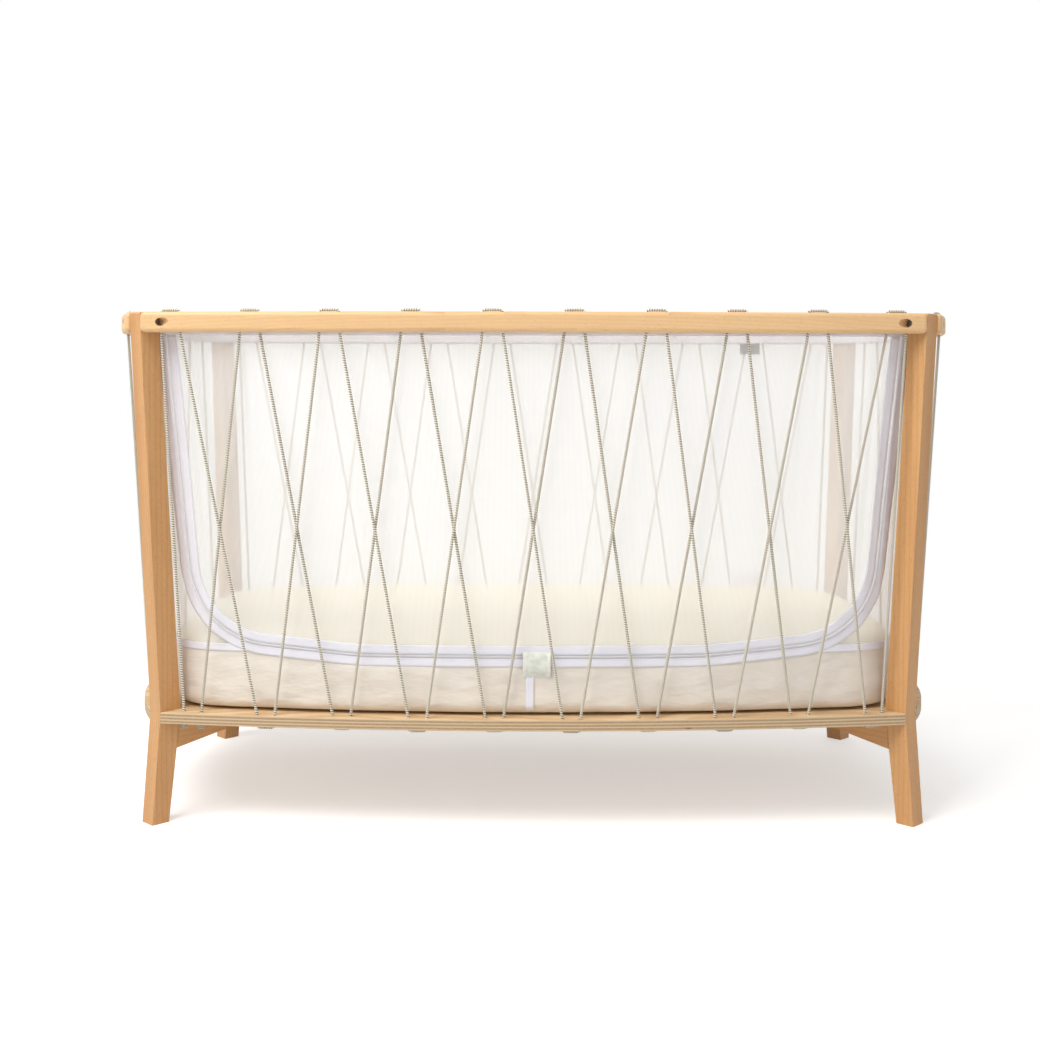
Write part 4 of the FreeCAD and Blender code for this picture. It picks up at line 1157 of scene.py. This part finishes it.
def coverMesh():
    radius = coverLook["radius"]
    turn = coverLook["foot"] + coverLook["lift"] + radius
    profile = [(0.0, crib["seam"] - k * (crib["seam"] - turn) / 12) for k in range(13)]
    profile += [(radius * (1 - math.cos(angle)), turn - radius * math.sin(angle))
                for angle in np.linspace(0, math.pi / 2, 9)[1:]]
    profile += [(radius + (coverLook["reach"] - radius) * k / 3,
                 coverLook["foot"] + coverLook["lift"] * (1 - k / 3)) for k in (1, 2, 3)]
    rows = len(profile)
    shrink = (0.80, 0.55, 0.30, 0.08)
    points = np.zeros((rows + len(shrink), bedCount, 3))
    for j, (inset, z) in enumerate(profile):
        for i in range(bedCount):
            x, y = bedRing[i]
            shift = creaseAt(x, y, z) - inset - 0.0006
            points[j, i] = (x + bedNormal[i][0] * shift, y + bedNormal[i][1] * shift,
                            max(z, coverLook["foot"] + 0.0003))
    floorRow = points[rows - 1].copy()
    for k, share in enumerate(shrink):
        points[rows + k] = floorRow * np.array([share, share, 1.0])
    lengths = runAlong(points[:, 0])
    mesh = gridMesh("baseCover", points, closedU=True, uv=lambda row, col: (bedRun[col], -lengths[row]))
    shape = bmesh.new()
    shape.from_mesh(mesh)
    shape.verts.ensure_lookup_table()
    last = (rows + len(shrink) - 1) * bedCount
    cap = shape.faces.new([shape.verts[last + i] for i in range(bedCount)])
    cap.smooth = True
    bmesh.ops.recalc_face_normals(shape, faces=shape.faces[:])
    shape.to_mesh(mesh)
    shape.free()
    mesh.materials.append(cotton)
    return mesh


baseCover = newObject("baseCover", coverMesh())
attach(baseCover, "frame")
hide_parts("base_cover")
solidify(baseCover, 0.0008)
print("base cover", round(sum(p.area for p in baseCover.data.polygons), 3))


# Seam binding and hems
def ringStrip(name, first, last, heights, out, material, pucker=0.0, perStep=2):
    cols = (last - first) * perStep + 1
    points = np.zeros((len(heights), cols, 3))
    for j, z in enumerate(heights):
        for i in range(cols):
            index = first + i / perStep
            wave = pucker * math.sin(runAt(index) * 2 * math.pi / 0.011 + j * 1.9)
            wave *= 0.6 + 0.4 * math.sin(i * 0.13)
            x, y, _ = ringPoint(index, min(max(heightShare(z), 0.0), 1.0), out + wave)
            points[j, i] = (x, y, z)
    mesh = gridMesh(name, points, uv=lambda row, col: (runAt(first + col / perStep), heights[row]))
    mesh.materials.append(material)
    return newObject(name, mesh)


bindingLook = {"heights": [0.278, 0.280, 0.284, 0.288, 0.290], "width": 0.012, "out": 0.0011,
               "pucker": 0.00012, "thickness": 0.0007, "besideZip": 0.060}
hemLook = {"rows": 8, "width": 0.031, "turnedIn": 0.08, "pucker": 0.00022, "thickness": 0.0020}
gapHalf = seamHalf + bindingLook["besideZip"]
gapFirst, gapLast = rowIndex(crib["seam"], [-gapHalf, gapHalf])
gapFirst, gapLast = round(float(gapFirst)), round(float(gapLast)) - ringCount      # the binding's two ends
binding = ringStrip("seamBinding", gapLast, gapFirst, bindingLook["heights"], bindingLook["out"], tape,
                    bindingLook["pucker"])
bindingLength = runAt(gapFirst) - runAt(gapLast)
sewn(binding, "seam_binding", (bindingLook["width"], bindingLength), ["base_cover"],
     bindingLook["thickness"])

hemHeights = [crib["hemFoot"] + k * (crib["hemTop"] - crib["hemFoot"]) / hemLook["rows"]
              for k in range(hemLook["rows"] + 1)]
for side, (first, last) in seams.items():
    piece = ringStrip("hem" + side.capitalize(), first, last, hemHeights, 0.0, tape, hemLook["pucker"], 3)
    sewn(piece, "hem_" + side, (hemLook["width"], runAt(last) - runAt(first) + hemLook["turnedIn"]),
         ["rail_" + side], hemLook["thickness"])
    print(piece.name)


# Stitching along the seams
def topRun(first, last, z, out, perStep=2):
    t = min(max(heightShare(z), 0.0), 1.0)
    line = []
    for i in range((last - first) * perStep + 1):
        x, y, _ = ringPoint(first + i / perStep, t, out)
        line.append((x, y, z))
    return line


def offsetDoor(shift, out):
    return [frontCloth(x + n[0] * shift, z + n[1] * shift, out) for (x, z), n in zip(zipLine, zipOut)]


stitchLook = {"long": 0.0024, "wide": 0.00045, "tall": 0.0003, "pitch": 0.0036, "lift": 0.0005}


def stitches(name, lines, material, out=(0.0, -1.0, 0.0)):
    bead = seed("stitch", (stitchLook["long"], stitchLook["wide"], stitchLook["tall"]), 0.00012)
    piece = beadRow(name, lines, bead, stitchLook["pitch"], material, out)
    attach(piece, "frame")
    print(name, len(piece.data.polygons))


thread = nylonFinish("sewingThread", ink(236, 234, 242), ink(206, 203, 216))
stitches("stitchesZip", [offsetDoor(shift, 0.0011) for shift in (0.0155, -0.0155, 0.0060, -0.0060)], thread)
stitches("stitchesHem", [topRun(*ends, z, -0.0011) for z in (crib["hemFoot"] + 0.0035, crib["hemTop"] - 0.004)
                         for ends in seams.values()], thread, up)
stitches("stitchesBinding", [topRun(gapLast, gapFirst, z, 0.0016) for z in (0.2795, 0.2885)], thread, up)


# Zip garage, ribbon and the two bare tags
def panel(name, rowPoints, material, flat):
    points = np.array(rowPoints)
    mesh = gridMesh(name, points, uv=lambda row, col: (col * flat[0] / (points.shape[1] - 1),
                                                       row * flat[1] / (points.shape[0] - 1)))
    mesh.materials.append(material)
    return newObject(name, mesh)


def strip(maker, look):
    # rows of points up a narrow piece on the front of the cover
    return [[maker(look["left"] + look["width"] * i / look["cols"], j / look["rows"])
             for i in range(look["cols"] + 1)] for j in range(look["rows"] + 1)]


# The tag over the sliders, from its lower sewn edge to its upper one: height, and how far out there
garage = {"left": -0.0160, "width": 0.045, "cols": 24, "rows": 40, "dent": 0.0005,
          "heights": [0.2450, 0.2463, 0.2500, 0.2545, 0.2620, 0.2720, 0.2800, 0.2830, 0.2850],
          "outs": [0.0018, 0.0018, 0.0034, 0.0060, 0.0072, 0.0073, 0.0064, 0.0032, 0.0018]}


def garagePoint(x, share):
    mark = share * (len(garage["heights"]) - 1)
    z, out = (float(np.interp(mark, np.arange(len(garage[key])), garage[key])) for key in ("heights", "outs"))
    dent = garage["dent"] * math.sin(x * 210.0) * math.sin(z * 300.0)
    return (x, -coverFace.longBow.out(x) - out - dent, z)


garagePiece = panel("zipGarage", strip(garagePoint, garage), tag, (0.045, 0.046))
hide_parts("zip_garage")
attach(garagePiece, "frame")
solidify(garagePiece, 0.0007)

ribbon = {"left": -0.0115, "width": 0.013, "foot": 0.1895, "top": 0.2455, "cols": 8, "rows": 24}


def ribbonPoint(x, share):
    z = ribbon["foot"] + (ribbon["top"] - ribbon["foot"]) * share
    radius = coverLook["radius"]
    bend = max(0.0, coverLook["foot"] + coverLook["lift"] + radius - z)
    inset = radius - math.sqrt(max(0.0, radius ** 2 - bend ** 2))
    return (x, -coverFace.longBow.out(x) - 0.0011 + inset - 0.0003 * math.sin(share * 9.0), z)


strap = panel("baseRibbon", strip(ribbonPoint, ribbon), tape, (0.013, 0.057))
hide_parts("base_strap")
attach(strap, "frame")
solidify(strap, 0.0007)


def edgeLine(maker, xFirst, xLast, shareFirst, shareLast, count=40):
    line = []
    for k in range(count + 1):
        s = k / count
        x, y, z = maker(xFirst + (xLast - xFirst) * s, shareFirst + (shareLast - shareFirst) * s)
        line.append((x, y - stitchLook["lift"], z))
    return line


tagLeft, tagRight = garage["left"] + 0.002, garage["left"] + garage["width"] - 0.002
tagRuns = [(garagePoint, tagLeft, tagRight, 0.08, 0.08), (garagePoint, tagLeft, tagRight, 0.95, 0.95),
           (garagePoint, tagLeft, tagLeft, 0.08, 0.95), (garagePoint, tagRight, tagRight, 0.08, 0.95)]
tagRuns += [(ribbonPoint, ribbon["left"] + inset, ribbon["left"] + inset, 0.04, 0.92)
            for inset in (0.0045, 0.0085)]
stitches("stitchesTag", [edgeLine(*run) for run in tagRuns], thread)


def backPatch(name, node, middle, width, foot, top, material, slot, curl):
    backSpan = np.arange(seams["back"][0], seams["back"][1] + 1)
    rows, cols = 12, 14
    grid = []
    for j in range(rows + 1):
        z = foot + (top - foot) * j / rows
        t = heightShare(z)
        flat = ringLevel(t, backSpan)
        row = []
        for i in range(cols + 1):
            x = middle - width / 2 + width * i / cols
            index = float(np.interp(-x, -flat[:, 0], backSpan))
            row.append(ringPoint(index, t, -0.0012 - curl(j / rows, i / cols)))
        grid.append(row)
    piece = panel(name, grid, material, (width, top - foot))
    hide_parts(node)
    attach(piece, "frame")
    solidify(piece, 0.0004)


careLabel = {"middle": 0.425, "width": 0.055, "foot": 0.284, "top": 0.330}
hemTag = {"middle": 0.441, "width": 0.039, "foot": 0.7725, "top": 0.7925}
backPatch("careLabel", "care_label", **careLabel, material=tape, slot="white_tape",
          curl=lambda j, i: 0.004 * j ** 2 + 0.0012 * math.sin(i * 5.0) * j)
backPatch("hemTag", "hem_tag", **hemTag, material=greyTag, slot="tag_cloth",
          curl=lambda j, i: 0.0015 * (1 - j) ** 2)
print("tags sewn on")


# Mattress: foam in a cotton cover, crowned a little, with a piped seam round its middle
pad = {"foot": 0.030, "rim": 0.022, "ease": 0.0003, "overCore": 0.0006, "voxel": 0.010, "crown": 0.0045,
       "frames": 20, "piping": 0.0013, "pipingOut": 0.0003}
padCloth = {"quality": 6, "mass": 0.35, "tension_stiffness": 30.0, "compression_stiffness": 30.0,
            "shear_stiffness": 12.0, "bending_stiffness": 1.5, "use_pressure": True,
            "uniform_pressure_force": 4.0, "vertex_group_mass": "still"}


def padShape():
    start = mattressLine.shifted(-pad["ease"])
    ring = start.ring(96, 16)
    normal = ringNormal(ring)
    low, high = crib["mattressFoot"] + pad["ease"], crib["mattressTop"] - pad["ease"]
    foot, rim = pad["foot"], pad["rim"]
    profile = [(foot * (1 - math.cos(angle)), low + foot * (1 - math.sin(angle)))
               for angle in np.linspace(math.pi / 2, 0, 6)]
    profile += [(0.0, low + foot + (high - rim - low - foot) * k / 5) for k in range(1, 5)]
    profile += [(rim * (1 - math.cos(angle)), high - rim * (1 - math.sin(angle)))
                for angle in np.linspace(0, math.pi / 2, 7)]
    points = np.zeros((len(profile), len(ring), 3))
    for j, (inset, z) in enumerate(profile):
        points[j, :, :2] = ring - normal * inset
        points[j, :, 2] = z
    mesh = gridMesh("padShape", points, closedU=True)
    shape = bmesh.new()
    shape.from_mesh(mesh)
    shape.verts.ensure_lookup_table()
    count = len(ring)
    shape.faces.new([shape.verts[i] for i in range(count)][::-1])
    shape.faces.new([shape.verts[(len(profile) - 1) * count + i] for i in range(count)])
    bmesh.ops.recalc_face_normals(shape, faces=shape.faces[:])
    bmesh.ops.triangulate(shape, faces=[f for f in shape.faces if len(f.verts) > 4])
    shape.to_mesh(mesh)
    shape.free()
    return newObject("padShape", mesh)


def simulatePad(piece):
    mesh = piece.data
    rest = np.array([vert.co for vert in mesh.vertices])
    still = piece.vertex_groups.new(name="still")
    for vert in mesh.vertices:
        hold = 1.0 - float(smooth(crib["mattressTop"] - 0.034, crib["mattressTop"] - 0.006, vert.co.z))
        still.add([vert.index], hold, "REPLACE")
    cloth = piece.modifiers.new("cloth", "CLOTH")
    for key, value in padCloth.items():
        setattr(cloth.settings, key, value)
    cloth.settings.effector_weights.gravity = 0.0
    scene = bpy.context.scene
    scene.frame_start = 1
    cloth.point_cache.frame_start = 1
    cloth.point_cache.frame_end = pad["frames"]
    for tick in range(1, pad["frames"] + 1):
        scene.frame_set(tick)
    graph = bpy.context.evaluated_depsgraph_get()
    moved = np.array([vert.co for vert in piece.evaluated_get(graph).data.vertices])
    scene.frame_set(1)
    piece.modifiers.remove(cloth)
    piece.vertex_groups.clear()
    if moved.shape != rest.shape or not np.isfinite(moved).all():
        return
    # only the swelling is kept, so that the foam stays covered
    outward = np.array([vert.normal for vert in mesh.vertices])
    swell = np.clip(((moved - rest) * outward).sum(1), 0.0, pad["crown"])
    mesh.vertices.foreach_set("co", (rest + outward * swell[:, None]).ravel())
    mesh.update()


def mattressPiece():
    shape = padShape()
    voxels = shape.modifiers.new("voxels", "REMESH")
    voxels.mode = "VOXEL"
    voxels.voxel_size = pad["voxel"]
    shape = baked(shape, "mattress")
    simulatePad(shape)
    # slow hollows and fine pulls of the cover over the foam
    for vert in shape.data.vertices:
        x, y, z = vert.co
        onTop = float(smooth(crib["mattressTop"] - 0.010, crib["mattressTop"] - 0.002, z))
        wave = (noise.noise(Vector((x * 5.0, y * 6.0, 1.0))) + 0.6) * 0.0014
        pull = (noise.noise(Vector((x * 18.0 + y * 7.0, y * 30.0, 4.0))) + 0.6) * 0.0007
        vert.co.z += max(0.0, wave + pull) * onTop
    finer = shape.modifiers.new("finer", "SUBSURF")
    finer.levels = finer.render_levels = 1
    shape = baked(shape, "mattress")
    # the cover stays just outside the foam
    outward = [vert.normal.copy() for vert in shape.data.vertices]
    for vert, normal in zip(shape.data.vertices, outward):
        vert.co += normal * pad["overCore"]
    return shape


def padFinish():
    # knitted cover seen from every side, so it is woven on place and not on a map
    look = {"pale": ink(253, 247, 225), "deep": ink(248, 239, 212), "thread": 0.0013}
    f = Finish("mattressCover")
    place = f.coords()
    x, y, z = f.axes(place)
    turn = 2 * math.pi / look["thread"]
    warp = ((x + y * 0.35) * turn).sine() * 0.5 + 0.5
    weft = ((y - x * 0.35 + z) * turn).sine() * 0.5 + 0.5
    slub = f.noise(f.vector(x * 90.0, y * 500.0, z * 500.0), 1.0, 2.0)
    cloud = f.noise(place, 7.0, 3.0)
    shade = (warp * weft * 0.3 + slub * 0.35 + cloud * 0.35).step(0.15, 0.85)
    return f.surface(colour=f.mix(shade, look["deep"], look["pale"]), roughness=0.92,
                     normal=f.bump(warp * weft + slub * 0.6, 0.00012), sheen=0.2, sheenRoughness=0.6)


padLook = padFinish()
mattress = mattressPiece()
mattress.data.materials.clear()
mattress.data.materials.append(padLook)
mattress.data.polygons.foreach_set("use_smooth", [True] * len(mattress.data.polygons))
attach(mattress, "mattress")
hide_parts("mattress_cover_top", "mattress_cover_base")
print("mattress", len(mattress.data.polygons))


def foamFinish():
    f = Finish("foamCore")
    cells = f.node("ShaderNodeTexVoronoi", None, {"Vector": f.coords(), "Scale": 600.0}, "Distance")
    return f.surface(colour=f.mix(cells, ink(244, 238, 214), ink(222, 214, 186)), roughness=0.95,
                     normal=f.bump(cells, 0.0004))


def knotFinish():
    f = Finish("knotCord")
    place = f.coords()
    x, y, z = f.axes(place)
    wrap = (z / 0.0024 + f.noise(place, 160.0, 1.0) * 1.2).wave()
    # painted shade: the colour darkens between the wraps of the knot
    return f.surface(colour=f.mix(wrap, ink(138, 134, 114), ink(208, 204, 188)), roughness=0.85,
                     normal=f.bump(wrap, 0.0005))


wear("mattress_core", foamFinish())
wear("lacing_knots", knotFinish())

# Piping round the mattress's side, where its cover zips off
def pipingPiece():
    height = (crib["mattressFoot"] + crib["mattressTop"]) / 2
    ring = mattressLine.shifted(pad["pipingOut"]).ring(96, 16)
    piece = polyLine("mattressPiping", [[Vector((x, y, height)) for x, y in ring]])
    piece.data.bevel_depth, piece.data.bevel_resolution = pad["piping"], 2
    piece.data.splines[0].use_cyclic_u = True
    return baked(piece, "mattressPiping")


piping = pipingPiece()
piping.data.materials.clear()
piping.data.materials.append(padLook)
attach(piping, "mattress")
